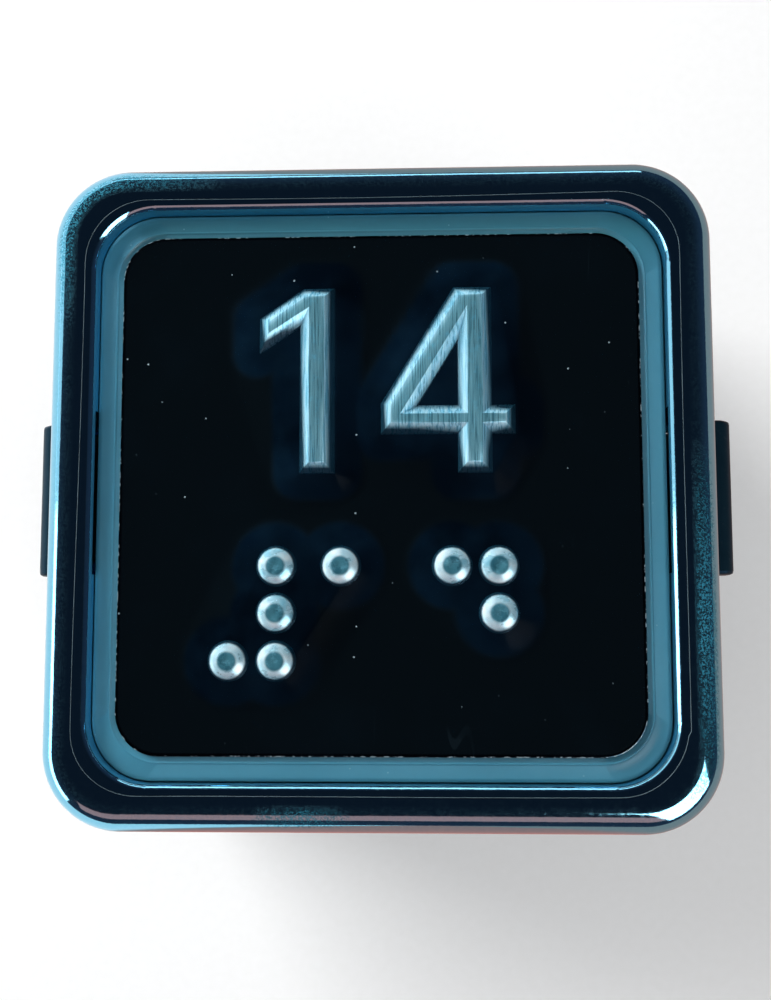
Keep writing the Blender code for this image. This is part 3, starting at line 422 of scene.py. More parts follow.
def satin_steel(name, grain, flats, slopes):
    """Satin steel with a grain of (x, y, z) mm, two shades each for flats and slopes, the slopes a painted
    sheen, and painted dark where nearly upright.
    """
    material, tree, shader, place = start_material(name, Metallic=0.35)
    grained = add_node(tree, "ShaderNodeMapping",
                       {"Vector": place, "Scale": [1000 / g for g in grain]}).outputs[0]
    grained = add_node(tree, "ShaderNodeTexNoise",
                       {"Vector": grained, "Scale": 1.0, "Detail": 3.0}).outputs["Fac"]
    grained = add_node(tree, "ShaderNodeMapRange", {0: grained, 1: 0.3, 2: 0.7}).outputs[0]
    stains = add_node(tree, "ShaderNodeTexNoise",
                      {"Vector": place, "Scale": 1000 / 0.5, "Detail": 5.0, "Roughness": 0.7}).outputs["Fac"]
    stain = add_node(tree, "ShaderNodeMapRange", {0: stains, 1: 0.52, 2: 0.72, 3: 0.0, 4: 0.5}).outputs[0]
    facing = add_node(tree, "ShaderNodeSeparateXYZ",
                      {0: add_node(tree, "ShaderNodeNewGeometry").outputs["Normal"]}).outputs["Z"]
    flat = add_node(tree, "ShaderNodeMapRange", {0: facing, 1: 0.93, 2: 0.98}).outputs[0]
    # Painted reflection: steep parts go dark, as if mirroring the black plate, and slopes take paler colours
    # as a painted sheen.
    steep_painted_dark = add_node(tree, "ShaderNodeMapRange", {0: facing, 1: 0.75, 2: 0.62}).outputs[0]
    tops = add_node(tree, "ShaderNodeMix", {0: grained, 6: linear(flats[0]), 7: linear(flats[1])},
                    data_type="RGBA").outputs[2]
    tops = add_node(tree, "ShaderNodeMix", {0: stain, 6: tops, 7: linear(slopes[0])},
                    data_type="RGBA").outputs[2]
    slope_sheen_and_shade = add_node(tree, "ShaderNodeMix", {0: grained, 6: linear(slopes[0]), 7: linear(slopes[1])},
                     data_type="RGBA").outputs[2]
    slope_sheen_and_shade = add_node(tree, "ShaderNodeMix", {0: steep_painted_dark, 6: slope_sheen_and_shade, 7: linear("#123443")},
                     data_type="RGBA").outputs[2]
    shade = add_node(tree, "ShaderNodeMix", {0: flat, 6: slope_sheen_and_shade, 7: tops}, data_type="RGBA").outputs[2]
    gloss = add_node(tree, "ShaderNodeMapRange", {0: grained, 3: 0.2, 4: 0.42}).outputs[0]
    texture = add_node(tree, "ShaderNodeBump",
                       {"Strength": 0.5, "Distance": 0.015 * MM, "Height": grained}).outputs[0]
    dress(shader, Base_Color=shade, Roughness=gloss, Normal=texture)
    return material


# Brushed steel: fine upright lines that break up the shine on the flats and along the flanks, which are
# painted paler as a sheen.
brushed_steel = satin_steel("brushed_steel", (0.09, 2.5, 0.3), ("#3A7586", "#74ACBB"), ("#5AB2D2", "#B4E2F0"))
form = bmesh.new()
raise_figure(form, ONE)
raise_figure(form, FOUR, FOUR_EYE)
piece = as_piece("raised_figures", form, brushed_steel, 40)
stand_in(piece, "face", "plate_steel")

# Braille
# The same number in braille: the number sign, one and four. Each dot is a turned steel rivet with a
# domed head and a small flat in its crown, pressed into a drilled hole.
DOTS = [(-8.06, -9.1), (-5.52, -4.05), (-5.52, -6.56), (-5.52, -9.1), (-2.06, -4.05), (3.9, -4.05),
        (6.39, -4.05), (6.39, -6.56)]
DOT_RADIUS, DOT_HEIGHT = 1.1, 0.7

# Turned steel: a smooth satin with a teal flat; where the dome slopes it is painted almost white as a
# highlight, and dark at its steep foot as a painted reflection.
turned_steel = satin_steel("turned_steel", (0.9, 0.7, 0.7), ("#2A6273", "#488797"), ("#84C8DE", "#DDF3F9"))
sizes = {"radius": DOT_RADIUS * MM, "height": DOT_HEIGHT * MM, "flat": 0.46 * MM, "pit": 0.1 * MM}
tree, given = start_tree("braille_dots", **sizes)
ball = add_node(tree, "GeometryNodeMeshUVSphere",
                {"Segments": 40, "Rings": 32, "Radius": given["radius"]}).outputs[0]
spot = add_node(tree, "ShaderNodeSeparateXYZ",
                {0: add_node(tree, "GeometryNodeInputPosition").outputs[0]}).outputs
squat = add_node(tree, "ShaderNodeMath", {0: given["height"], 1: given["radius"]},
                 operation="DIVIDE").outputs[0]
dome = add_node(tree, "ShaderNodeMath", {0: spot["Z"], 1: squat}, operation="MULTIPLY").outputs[0]
level = add_node(tree, "ShaderNodeCombineXYZ", {"X": spot["X"], "Y": spot["Y"]}).outputs[0]
out = add_node(tree, "ShaderNodeVectorMath", {0: level}, operation="LENGTH").outputs["Value"]
dip = add_node(tree, "ShaderNodeMapRange", {0: out, 1: given["flat"], 2: 0.0, 3: 0.0, 4: given["pit"]},
               interpolation_type="SMOOTHSTEP").outputs[0]
dip = add_node(tree, "ShaderNodeMath", {0: dome, 1: dip}, operation="SUBTRACT").outputs[0]
shaped = add_node(tree, "ShaderNodeCombineXYZ", {"X": spot["X"], "Y": spot["Y"], "Z": dip}).outputs[0]
head = add_node(tree, "GeometryNodeSetPosition", {"Geometry": ball, "Position": shaped}).outputs[0]
head = add_node(tree, "GeometryNodeSetShadeSmooth", {"Geometry": head}).outputs[0]
dots = add_node(tree, "GeometryNodeInstanceOnPoints",
                {"Points": given["Geometry"], "Instance": head}).outputs[0]
holes = bpy.data.meshes.new("braille")
holes.from_pydata([(x * MM, y * MM, PLATE_TOP * MM) for x, y in DOTS], [], [])
piece = grown("braille", holes, tree, dots, turned_steel, **sizes)
stand_in(piece, "face", "plate_steel")

# Protective film
# A thin clear blue polythene sheet, laid over the plate at the works and not yet peeled off. It
# clings to the steel and stands off in a pocket round each figure and each group of braille dots.
FILM_HALF, FILM_CORNER, FILM_RINGS = 13.95, 2.2, 120
FILM_TOP, FILM_WALL, POCKET_RISE = PLATE_TOP + 0.11, 0.03, 0.68
# Air is trapped this far out from the figures and the dots, and fades away over the last of it.
AIR_BY_FIGURE, AIR_BY_DOT, AIR_FADE = 1.65, 2.55, 0.35
# Each pocket has the outline that it spans, and how far out it starts to fall and meets the sheet.
POCKETS = [
    (ONE[:6], 0.1, 1.8),
    ([(4.25, 0.95), (6.1, 0.95), (7.35, 3.05), (7.35, 4.6), (6.1, 11.1), (4.05, 11.1), (0.1, 4.7),
      (0.1, 3.05)], 0.1, 1.8),
    ([(-8.06, -9.1), (-5.52, -9.1), (-2.06, -4.05), (-5.52, -4.05)], 0.6, 2.7),
    ([(3.9, -4.05), (6.39, -6.56), (6.39, -4.05)], 0.6, 2.7)]


def past_outline(points, outline):
    """How far each point is outside an outline, in millimetres, and below zero inside it."""
    inside = np.zeros(len(points), bool)
    nearest = np.full(len(points), np.inf)
    for a, b in zip(np.array(outline), np.roll(outline, -1, axis=0)):
        along = np.clip(((points - a) @ (b - a)) / ((b - a) @ (b - a)), 0, 1)
        nearest = np.minimum(nearest, np.linalg.norm(points - a - along[:, None] * (b - a), axis=1))
        if a[1] != b[1]:
            crosses = (a[1] > points[:, 1]) != (b[1] > points[:, 1])
            at = a[0] + (points[:, 1] - a[1]) / (b[1] - a[1]) * (b[0] - a[0])
            inside ^= crosses & (points[:, 0] < at)
    return np.where(inside, -nearest, nearest)


# Polythene film: clear and glossy. It shows as a blue haze where air is trapped under it.
film, tree, shader, place = start_material("polythene_film", IOR=1.51)
trapped = add_node(tree, "ShaderNodeAttribute", attribute_name="trapped_air").outputs["Fac"]
ripple = add_node(tree, "ShaderNodeTexNoise",
                  {"Vector": place, "Scale": 1000 / 1.2, "Detail": 3.0}).outputs["Fac"]
blue = add_node(tree, "ShaderNodeMix", {0: ripple, 6: linear("#2C6CA6"), 7: linear("#4F98CC")},
                data_type="RGBA").outputs[2]
shade = add_node(tree, "ShaderNodeMix", {0: trapped, 6: linear("#6F9BB2"), 7: blue},
                 data_type="RGBA").outputs[2]
gloss = add_node(tree, "ShaderNodeMapRange", {0: ripple, 3: 0.08, 4: 0.3}).outputs[0]
drift = add_node(tree, "ShaderNodeTexNoise",
                 {"Vector": place, "Scale": 1000 / 4.5, "Detail": 3.0}).outputs["Fac"]
most = add_node(tree, "ShaderNodeMapRange", {0: drift, 1: 0.35, 2: 0.65, 3: 0.005, 4: 0.016}).outputs[0]
haze = add_node(tree, "ShaderNodeMapRange", {0: trapped, 3: 0.005, 4: most}).outputs[0]
texture = add_node(tree, "ShaderNodeBump",
                   {"Strength": 0.4, "Distance": 0.03 * MM, "Height": ripple}).outputs[0]
dress(shader, Base_Color=shade, Roughness=gloss, Alpha=haze, Normal=texture)

rim = np.array(rounded_square(FILM_HALF, FILM_CORNER, 10, 50))
spread = np.array([rim * k / FILM_RINGS for k in range(1, FILM_RINGS + 1)]).reshape(-1, 2)
lift = np.zeros(len(spread))
for outline, near, far in POCKETS:
    out = (past_outline(spread, outline) - near) / (far - near)
    lift = np.maximum(lift, POCKET_RISE * np.clip(1 - out, 0, 1) ** 1.3)
air = np.zeros(len(spread))
for outline in (ONE, FOUR):
    air = np.maximum(air, np.clip((AIR_BY_FIGURE - past_outline(spread, outline)) / AIR_FADE, 0, 1))
for dot in DOTS:
    air = np.maximum(air, np.clip((AIR_BY_DOT - np.linalg.norm(spread - dot, axis=1)) / AIR_FADE, 0, 1))
form = bmesh.new()
trapped_air = form.verts.layers.float.new("trapped_air")
sheet = [form.verts.new((x * MM, y * MM, (FILM_TOP + z) * MM)) for (x, y), z in zip(spread, lift)]
for point, share in zip(sheet, air):
    point[trapped_air] = share
count = len(rim)
for k in range(FILM_RINGS - 1):
    for i in range(count):
        j = (i + 1) % count
        form.faces.new((sheet[k * count + i], sheet[(k + 1) * count + i], sheet[(k + 1) * count + j],
                        sheet[k * count + j]))
form.faces.new(sheet[:count])
piece = as_piece("protective_film_shown", form, film, 80)
wall = piece.modifiers.new("wall", "SOLIDIFY")
wall.thickness = FILM_WALL * MM
wall.offset = -1.0
stand_in(settle(piece), "face", "film_clear", "protective_film")

# Bezel
# An ABS frame with a blue-tinted chrome plating, moulded with a rounded shoulder, a flat land and a
# small lip round the window. Its skirt snaps over the housing's collar and is notched for the wings.
FRONT = 20.5
NOTCH_IN, NOTCH_OUT = 13.9, 16.5
LATCH_X, LATCH_Y, LATCH_LOW, LATCH_HIGH = 6.0, 15.9, 14.05, 15.35

# Tinted chrome on moulded ABS: a blue mirror with slight waves, and dust that has settled on the
# shoulder, mostly in three places.
chrome, tree, shader, place = start_material("blue_tinted_chrome")
waves = add_node(tree, "ShaderNodeTexNoise",
                 {"Vector": place, "Scale": 1000 / 4.0, "Detail": 2.0}).outputs["Fac"]
pimples = add_node(tree, "ShaderNodeTexNoise",
                   {"Vector": place, "Scale": 1000 / 0.3, "Detail": 3.0, "Roughness": 0.65}).outputs["Fac"]
lint = add_node(tree, "ShaderNodeTexNoise",
                {"Vector": place, "Scale": 1000 / 0.13, "Detail": 4.0, "Roughness": 0.8}).outputs["Fac"]
speck = add_node(tree, "ShaderNodeMapRange", {0: lint, 1: 0.47, 2: 0.57, 3: 0.04, 4: 1.0}).outputs[0]
across = add_node(tree, "ShaderNodeVectorMath", {0: place, 1: (1, 1, 0)}, operation="MULTIPLY").outputs[0]
outward = add_node(tree, "ShaderNodeVectorMath",
                   {0: add_node(tree, "ShaderNodeNewGeometry").outputs["Normal"], 1: across},
                   operation="DOT_PRODUCT").outputs["Value"]
shoulder = add_node(tree, "ShaderNodeMapRange", {0: outward, 1: 0.3 * MM, 2: 4 * MM}).outputs[0]
wall = add_node(tree, "ShaderNodeMapRange", {0: outward, 1: 14 * MM, 2: 9.5 * MM}).outputs[0]
shoulder = add_node(tree, "ShaderNodeMath", {0: shoulder, 1: wall}, operation="MULTIPLY").outputs[0]
settled = 0.02  # a trace of dust all round
for spot, reach, most in (((-17.0, 17.4, 19.5), 9.0, 0.6), ((17.6, -7.0, 19.5), 10.0, 1.0),
                          ((-4.0, -17.6, 19.5), 3.0, 0.6)):
    off = add_node(tree, "ShaderNodeVectorMath", {0: place, 1: [c * MM for c in spot]}, operation="DISTANCE")
    near = add_node(tree, "ShaderNodeMapRange",
                    {0: off.outputs["Value"], 1: reach * MM, 2: 0.0, 3: 0.0, 4: most})
    settled = add_node(tree, "ShaderNodeMath", {0: settled, 1: near.outputs[0]},
                       operation="MAXIMUM").outputs[0]
settled = add_node(tree, "ShaderNodeMath", {0: settled, 1: shoulder}, operation="MULTIPLY").outputs[0]
dust = add_node(tree, "ShaderNodeMath", {0: speck, 1: settled}, operation="MULTIPLY").outputs[0]
shade = add_node(tree, "ShaderNodeMix", {0: pimples, 6: linear("#7CC8E9"), 7: linear("#93D6EF")},
                 data_type="RGBA").outputs[2]
tinted = add_node(tree, "ShaderNodeMapRange", {0: dust, 1: 0.0, 2: 0.15}).outputs[0]
dusty = add_node(tree, "ShaderNodeMix", {0: tinted, 6: shade, 7: linear("#46A0BC")},
                 data_type="RGBA").outputs[2]
bare = add_node(tree, "ShaderNodeMath", {0: 1.0, 1: dust}, operation="SUBTRACT").outputs[0]
gloss = add_node(tree, "ShaderNodeMapRange", {0: pimples, 1: 0.35, 2: 0.75, 3: 0.04, 4: 0.14}).outputs[0]
texture = add_node(tree, "ShaderNodeBump",
                   {"Strength": 0.4, "Distance": 0.04 * MM, "Height": waves}).outputs[0]
texture = add_node(tree, "ShaderNodeBump", {"Strength": 0.2, "Distance": 0.008 * MM, "Height": pimples,
                                            "Normal": texture}).outputs[0]
dress(shader, Base_Color=dusty, Metallic=bare, Roughness=gloss, Normal=texture)


def block(form, low, high):
    """A plain box between two corners in millimetres, for a cutter."""
    size = Vector(high) - Vector(low)
    box = bmesh.ops.create_cube(form, size=1.0)["verts"]
    bmesh.ops.scale(form, vec=size * MM, verts=box)
    bmesh.ops.translate(form, vec=(Vector(low) + size / 2) * MM, verts=box)


def cut_away(piece, form, crossing=False):
    """Cuts the shapes in a bmesh out of a piece; they may cross each other where that is said."""
    cutter = as_piece("cutter", form, piece.data.materials[0])
    cut = piece.modifiers.new("cuts", "BOOLEAN")
    cut.operation = "DIFFERENCE"
    cut.solver = "EXACT"
    cut.use_self = crossing
    cut.object = cutter
    settle(piece)
    bpy.data.objects.remove(cutter)


# From the window's inside over the lip, which is a narrow bevel, the land and the shoulder.
profile = [(15.5, 3.3, 12.8), (15.5, 3.3, 19.0), (15.5, 3.3, FRONT - 0.28), (15.52, 3.32, FRONT - 0.22),
           (15.7, 3.5, FRONT - 0.04), (15.77, 3.57, FRONT)]
profile += round_edge(16.45, 2.6, FRONT - 1.7, 1.7, 90, 0, 18)
profile += round_edge(18.03, 4.18, 17.92, 0.12, 0, -90, 4)
profile += [(16.4, 3.9, 17.8), (16.4, 3.9, 12.8)]
form = bmesh.new()
loops = loops_through(form, profile)
band(form, loops[-1], loops[0])
bmesh.ops.recalc_face_normals(form, faces=form.faces)
piece = as_piece("bezel_shown", form, chrome)

# A notch's outline, half and then mirrored. A rib waists it, just over the sweep of the wing's head.
NOTCH = [(4.46, 12.6), (4.46, 16.65), (3.5, 16.65), (3.5, 17.55), (4.46, 17.55), (4.46, 19.75)]
NOTCH += [(-y, z) for y, z in NOTCH[::-1]]
form = bmesh.new()
for side in (-1, 1):
    inner, outer = [[form.verts.new((x * side * MM, y * MM, z * MM)) for y, z in NOTCH]
                    for x in (NOTCH_IN, NOTCH_OUT)]
    band(form, inner, outer)
    form.faces.new(inner)
    form.faces.new(outer)
bmesh.ops.recalc_face_normals(form, faces=form.faces)
for y in (-LATCH_Y, LATCH_Y):
    for x in (-LATCH_X, LATCH_X):
        block(form, (x - 2.15, y - 0.8, LATCH_LOW), (x + 2.15, y + 0.8, LATCH_HIGH))
cut_away(piece, form)
piece.data.set_sharp_from_angle(angle=math.radians(32))
piece.modifiers.new("shading", "WEIGHTED_NORMAL").keep_sharp = True
stand_in(settle(piece), "body", "bezel_chrome", "bezel")

# Film on the bezel
# The bezel's land has a strip of the same clear film. Only its knife-cut inner edge shows, as a hair
# line that wanders a little round the window.
EDGE_HALF, EDGE_WIRE = 16.1, 0.018

# Cut polythene: the edge of the clear film scatters light, so that it is a pale blue-grey line.
cut_film, tree, shader, place = start_material("cut_polythene", Roughness=0.5, IOR=1.51)
wander = add_node(tree, "ShaderNodeTexNoise",
                  {"Vector": place, "Scale": 1000 / 2.5, "Detail": 2.0}).outputs["Fac"]
shade = add_node(tree, "ShaderNodeMix", {0: wander, 6: linear("#2F4047"), 7: linear("#5F747C")},
                 data_type="RGBA").outputs[2]
dress(shader, Base_Color=shade)

path = rounded_square(EDGE_HALF, 3.5, 14, 20)
drift = [1 + 0.006 * math.sin(0.09 * i) + 0.003 * math.sin(0.21 * i + 2) for i in range(len(path))]
strip = bpy.data.meshes.new("bezel_film")
strip.from_pydata([(x * MM * out, y * MM * out, FRONT * MM) for (x, y), out in zip(path, drift)],
                  [(i, (i + 1) % len(path)) for i in range(len(path))], [])
sizes = {"edge": EDGE_WIRE * MM}
tree, given = start_tree("film_edge", **sizes)
run = add_node(tree, "GeometryNodeMeshToCurve", {"Mesh": given["Geometry"]}).outputs[0]
bead = add_node(tree, "GeometryNodeCurvePrimitiveCircle",
                {"Resolution": 6, "Radius": given["edge"]}).outputs[0]
edge = add_node(tree, "GeometryNodeCurveToMesh", {"Curve": run, "Profile Curve": bead}).outputs[0]
piece = grown("bezel_film_edge", strip, tree, edge, cut_film, **sizes)
stand_in(piece, "body", "film_clear")

# Circuit board
# A sheet of glass-fibre laminate under green solder resist, with copper tracks, held on the housing's
# ribs. It carries the key switch, eight lamps under the ring, four resistors and the connector.

# Glass-fibre laminate: an even green gloss, with paler lines where tracks lift the resist.
laminate, tree, shader, place = start_material("green_laminate", IOR=1.5, Roughness=0.35)
tracks = add_node(tree, "ShaderNodeTexBrick",
                  {"Vector": place, "Scale": 1000 / 3.0, "Mortar Size": 0.06, "Color1": linear("#1F5A37"),
                   "Color2": linear("#1A4F30"), "Mortar": linear("#3C8455")})
texture = add_node(tree, "ShaderNodeBump",
                   {"Strength": 0.4, "Distance": 0.03 * MM, "Height": tracks.outputs["Fac"]}).outputs[0]
dress(shader, Base_Color=tracks.outputs["Color"], Normal=texture)
softened("circuit_board", "body", "board_laminate", laminate, 0)

# Key switch
# A tact switch soldered to the board: a black nylon base, a pressed tinned sheet that clips over it,
# and a natural acetal stem that the cap's actuator pushes down.

# Glass-filled nylon: a dull black with a fine fleck of fibres.
nylon = mottled("glass_filled_nylon", 0.2, 3.0, ("#1A1C1E", "#2B2E31"), (0.45, 0.65), IOR=1.53)
softened("switch_base", "body", "switch_plastic", nylon, 0.06 * MM)

# Tinned sheet: a pale bright metal with fine rolling lines.
tinplate, tree, shader, place = start_material("tinned_sheet", Metallic=1.0)
rolled = add_node(tree, "ShaderNodeMapping",
                  {"Vector": place, "Scale": (1000 / 0.05, 1000 / 2, 1000)}).outputs[0]
rolled = add_node(tree, "ShaderNodeTexNoise", {"Vector": rolled, "Scale": 1.0, "Detail": 2.0}).outputs["Fac"]
shade = add_node(tree, "ShaderNodeMix", {0: rolled, 6: linear("#AEB3B6"), 7: linear("#D2D6D8")},
                 data_type="RGBA").outputs[2]
gloss = add_node(tree, "ShaderNodeMapRange", {0: rolled, 3: 0.22, 4: 0.38}).outputs[0]
dress(shader, Base_Color=shade, Roughness=gloss)
softened("switch_cover", "body", "switch_sheet", tinplate, 0)

# Natural acetal: a smooth warm white with a waxy shine.
white_acetal = mottled("natural_acetal", 0.8, 3.0, ("#DCD7C9", "#EBE8DE"), (0.3, 0.42), IOR=1.48)
softened("switch_stem", "stem", "stem_plastic", white_acetal, 0)

# Lamps and resistors
# Eight white surface-mounted lamps with a yellow phosphor well, and four black thick-film resistors
# with tinned ends, all soldered to the board by machine.

# Lamp resin: a bright white cup round a speckled yellow filling.
lamp_body, tree, shader, place = start_material("lamp_resin", IOR=1.52)
height = add_node(tree, "ShaderNodeSeparateXYZ", {0: place}).outputs["Z"]
facing = add_node(tree, "ShaderNodeSeparateXYZ",
                  {0: add_node(tree, "ShaderNodeNewGeometry").outputs["Normal"]}).outputs["Z"]
well = add_node(tree, "ShaderNodeMapRange", {0: height, 1: 10.0 * MM, 2: 9.9 * MM}).outputs[0]
well = add_node(tree, "ShaderNodeMath", {0: well, 1: facing}, operation="MULTIPLY", use_clamp=True).outputs[0]
speckle = add_node(tree, "ShaderNodeTexNoise",
                   {"Vector": place, "Scale": 1000 / 0.1, "Detail": 2.0}).outputs["Fac"]
phosphor = add_node(tree, "ShaderNodeMix", {0: speckle, 6: linear("#D9C34A"), 7: linear("#EBDD7C")},
                    data_type="RGBA").outputs[2]
shade = add_node(tree, "ShaderNodeMix", {0: well, 6: linear("#E6E8E4"), 7: phosphor},
                 data_type="RGBA").outputs[2]
gloss = add_node(tree, "ShaderNodeMapRange", {0: speckle, 3: 0.3, 4: 0.45}).outputs[0]
dress(shader, Base_Color=shade, Roughness=gloss)
for number in range(1, 9):
    softened(f"led_{number}", "body", "led_body", lamp_body, 0)

# Glazed ceramic with tinned ends: a glossy black middle between two bright caps.
ceramic, tree, shader, place = start_material("glazed_resistor", IOR=1.5, Roughness=0.32)
across = add_node(tree, "ShaderNodeSeparateXYZ", {0: place}).outputs["X"]
across = add_node(tree, "ShaderNodeMath", {0: across}, operation="ABSOLUTE").outputs[0]
tinned = add_node(tree, "ShaderNodeMath", {0: across, 1: 7.0 * MM, 2: 0.65 * MM},
                  operation="COMPARE").outputs[0]
shade = add_node(tree, "ShaderNodeMix", {0: tinned, 6: linear("#B9BDBF"), 7: linear("#17191B")},
                 data_type="RGBA").outputs[2]
metal = add_node(tree, "ShaderNodeMath", {0: 1.0, 1: tinned}, operation="SUBTRACT").outputs[0]
dress(shader, Base_Color=shade, Metallic=metal)
for number in range(1, 5):
    softened(f"resistor_{number}", "body", "resistor_ceramic", ceramic, 0)

# Connector
# A white nylon shroud with two key slots and four square tinned pins, soldered through the board. Its
# mouth opens at the rear, where the lift's cable plugs in.

# Natural nylon: a cloudy cream white with a soft shine.
white_nylon = mottled("natural_nylon", 2.0, 4.0, ("#D8D2C0", "#E9E5D8"), (0.35, 0.5), IOR=1.53)
softened("connector_shroud", "body", "connector_nylon", white_nylon, 0.06 * MM)
for number in range(1, 5):
    softened(f"connector_pin_{number}", "body", "pin_tin", tinplate, 0.04 * MM)

# Rear cover
# A moulded ABS lid with a window for the connector, sunk holes for its screws and a rim that centres
# it in the housing.
softened("rear_cover", "body", "cover_plastic", abs_plastic, 0.12 * MM)

# Cover screws
# Four zinc-plated thread-forming screws with a flat countersunk edge and a cross recess, driven up
# through the cover into the housing's bosses.
SCREW_PLACE, SIDES, RIDGES = 13.0, 28, 24

# Bright zinc plating: a pale grey metal with a faint blue and yellow bloom.
zinc = mottled("bright_zinc", 1.2, 3.0, ("#A3AAB3", "#C9C6B4"), (0.22, 0.4), Metallic=1.0)

# The screw is turned from its head's face, which looks down, up to its tip.
turned = [(1.3, 0.2), (1.72, 0.28), (1.88, 0.45), (1.9, 0.6), (1.88, 0.95), (1.8, 1.05), (0.8, 1.05)]
turned += [(0.8 - 0.14 * (i % 2), 1.3 + 0.25 * i) for i in range(RIDGES)]
turned += [(0.45, 7.5), (0.2, 7.65)]
circle = [(math.cos(math.tau * i / SIDES), math.sin(math.tau * i / SIDES)) for i in range(SIDES)]
form = bmesh.new()
loops = [[form.verts.new((r * MM * c, r * MM * s, z * MM)) for c, s in circle] for r, z in turned]
for low, high in zip(loops, loops[1:]):
    band(form, low, high)
form.faces.new(loops[0][::-1])
form.faces.new(loops[-1])
piece = as_piece("cover_screw", form, zinc)
form = bmesh.new()
block(form, (-0.85, -0.19, -0.2), (0.85, 0.19, 0.65))
block(form, (-0.19, -0.85, -0.2), (0.19, 0.85, 0.65))
cut_away(piece, form, crossing=True)
screw = piece.data
bpy.data.objects.remove(piece)

sizes = {"place": SCREW_PLACE * MM}
tree, given = start_tree("cover_screws", **sizes)
spread = add_node(tree, "ShaderNodeMath", {0: given["place"], 1: 2.0}, operation="MULTIPLY").outputs[0]
bosses = add_node(tree, "GeometryNodeMeshGrid",
                  {"Size X": spread, "Size Y": spread, "Vertices X": 2, "Vertices Y": 2}).outputs[0]
turn = add_node(tree, "FunctionNodeRandomValue", {2: 0.0, 3: 1.57, "Seed": 4}, data_type="FLOAT").outputs[1]
turn = add_node(tree, "ShaderNodeCombineXYZ", {"Z": turn}).outputs[0]
screws = add_node(tree, "GeometryNodeInstanceOnPoints",
                  {"Points": bosses, "Instance": given["Geometry"], "Rotation": turn}).outputs[0]
piece = grown("cover_screws", screw, tree, screws, zinc, **sizes)
stand_in(piece, "body", "screw_zinc", "cover_screw_1", "cover_screw_2", "cover_screw_3", "cover_screw_4")

# Panel wings
# Two sprung arms of black acetal at the left and right. Each turns on a bead in the housing, folds in
# as the button is pushed through the panel, and then springs out behind it.

# Black acetal: a smooth blue-black with a low waxy shine and paler rub marks.
acetal, tree, shader, place = start_material("black_acetal", IOR=1.48, Specular_IOR_Level=0.1,
                                             Specular_Tint=linear("#6FB4FF"))
flow = add_node(tree, "ShaderNodeTexNoise",
                {"Vector": place, "Scale": 1000 / 1.5, "Detail": 4.0}).outputs["Fac"]
rubs = add_node(tree, "ShaderNodeTexNoise",
                {"Vector": place, "Scale": 1000 / 0.35, "Detail": 3.0, "Roughness": 0.7}).outputs["Fac"]
rub = add_node(tree, "ShaderNodeMapRange", {0: rubs, 1: 0.6, 2: 0.75, 3: 0.0, 4: 0.5}).outputs[0]
shade = add_node(tree, "ShaderNodeMix", {0: flow, 6: linear("#0F2430"), 7: linear("#1B323D")},
                 data_type="RGBA").outputs[2]
worn = add_node(tree, "ShaderNodeMix", {0: rub, 6: shade, 7: linear("#34434A")}, data_type="RGBA").outputs[2]
gloss = add_node(tree, "ShaderNodeMapRange", {0: flow, 3: 0.28, 4: 0.45}).outputs[0]
texture = add_node(tree, "ShaderNodeBump",
                   {"Strength": 0.3, "Distance": 0.01 * MM, "Height": rubs}).outputs[0]
dress(shader, Base_Color=worn, Roughness=gloss, Normal=texture)
for wing in ("left", "right"):
    softened(f"{wing}_panel_wing", f"{wing}_wing", "wing_plastic", acetal, 0.08 * MM)

# Table, light and camera
# The button lies on its back on white paper, under a soft light at the upper left, a weak one overhead
# and a fill at the lower right. The chrome mirrors low panels at the left and top, a white card at the
# lower right and a warm one in front; elsewhere it mirrors a painted reflection, a dim brown glow on the
# paper.

# White paper: even and matt. The camera sees it a little brighter than it is lit. Mirrors see a painted
# reflection in its place: a glow, white at the left, warm red in front and dim brown elsewhere.
white_paper, tree, shader, place = start_material("white_paper", Roughness=0.9)
fibres = add_node(tree, "ShaderNodeTexNoise",
                  {"Vector": place, "Scale": 1000 / 0.6, "Detail": 3.0}).outputs["Fac"]
shade = add_node(tree, "ShaderNodeMix", {0: fibres, 6: linear("#F3F3F2"), 7: linear("#FAFAFA")},
                 data_type="RGBA").outputs[2]
dress(shader, Base_Color=shade)
path = add_node(tree, "ShaderNodeLightPath").outputs
seen = add_node(tree, "ShaderNodeMath", {0: path["Is Camera Ray"], 1: path["Is Transmission Ray"]},
                operation="MAXIMUM").outputs[0]
lifted = add_node(tree, "ShaderNodeMath", {0: seen, 1: 0.3}, operation="MULTIPLY").outputs[0]
white = add_node(tree, "ShaderNodeEmission", {"Color": (1, 1, 1, 1), "Strength": 1.0}).outputs[0]
both = add_node(tree, "ShaderNodeMixShader", {0: lifted, 1: shader.outputs[0], 2: white}).outputs[0]
# Painted reflection: to glossy rays the paper glows white at the left, warm red in front and dim brown
# elsewhere.
spot = add_node(tree, "ShaderNodeSeparateXYZ", {0: place}).outputs
left = add_node(tree, "ShaderNodeMapRange", {0: spot["X"], 1: -19 * MM, 2: -22 * MM}).outputs[0]
painted_reflection = add_node(tree, "ShaderNodeMix", {0: left, 6: (0.48, 0.31, 0.27, 1), 7: (1, 1, 1, 1)},
                  data_type="RGBA").outputs[2]
near = add_node(tree, "ShaderNodeMapRange", {0: spot["Y"], 1: -17 * MM, 2: -21 * MM}).outputs[0]
middle = add_node(tree, "ShaderNodeMath", {0: spot["X"]}, operation="ABSOLUTE").outputs[0]
middle = add_node(tree, "ShaderNodeMapRange", {0: middle, 1: 20 * MM, 2: 15 * MM}).outputs[0]
near = add_node(tree, "ShaderNodeMath", {0: near, 1: middle}, operation="MULTIPLY").outputs[0]
painted_reflection = add_node(tree, "ShaderNodeMix", {0: near, 6: painted_reflection, 7: (0.75, 0.26, 0.21, 1)},
                  data_type="RGBA").outputs[2]
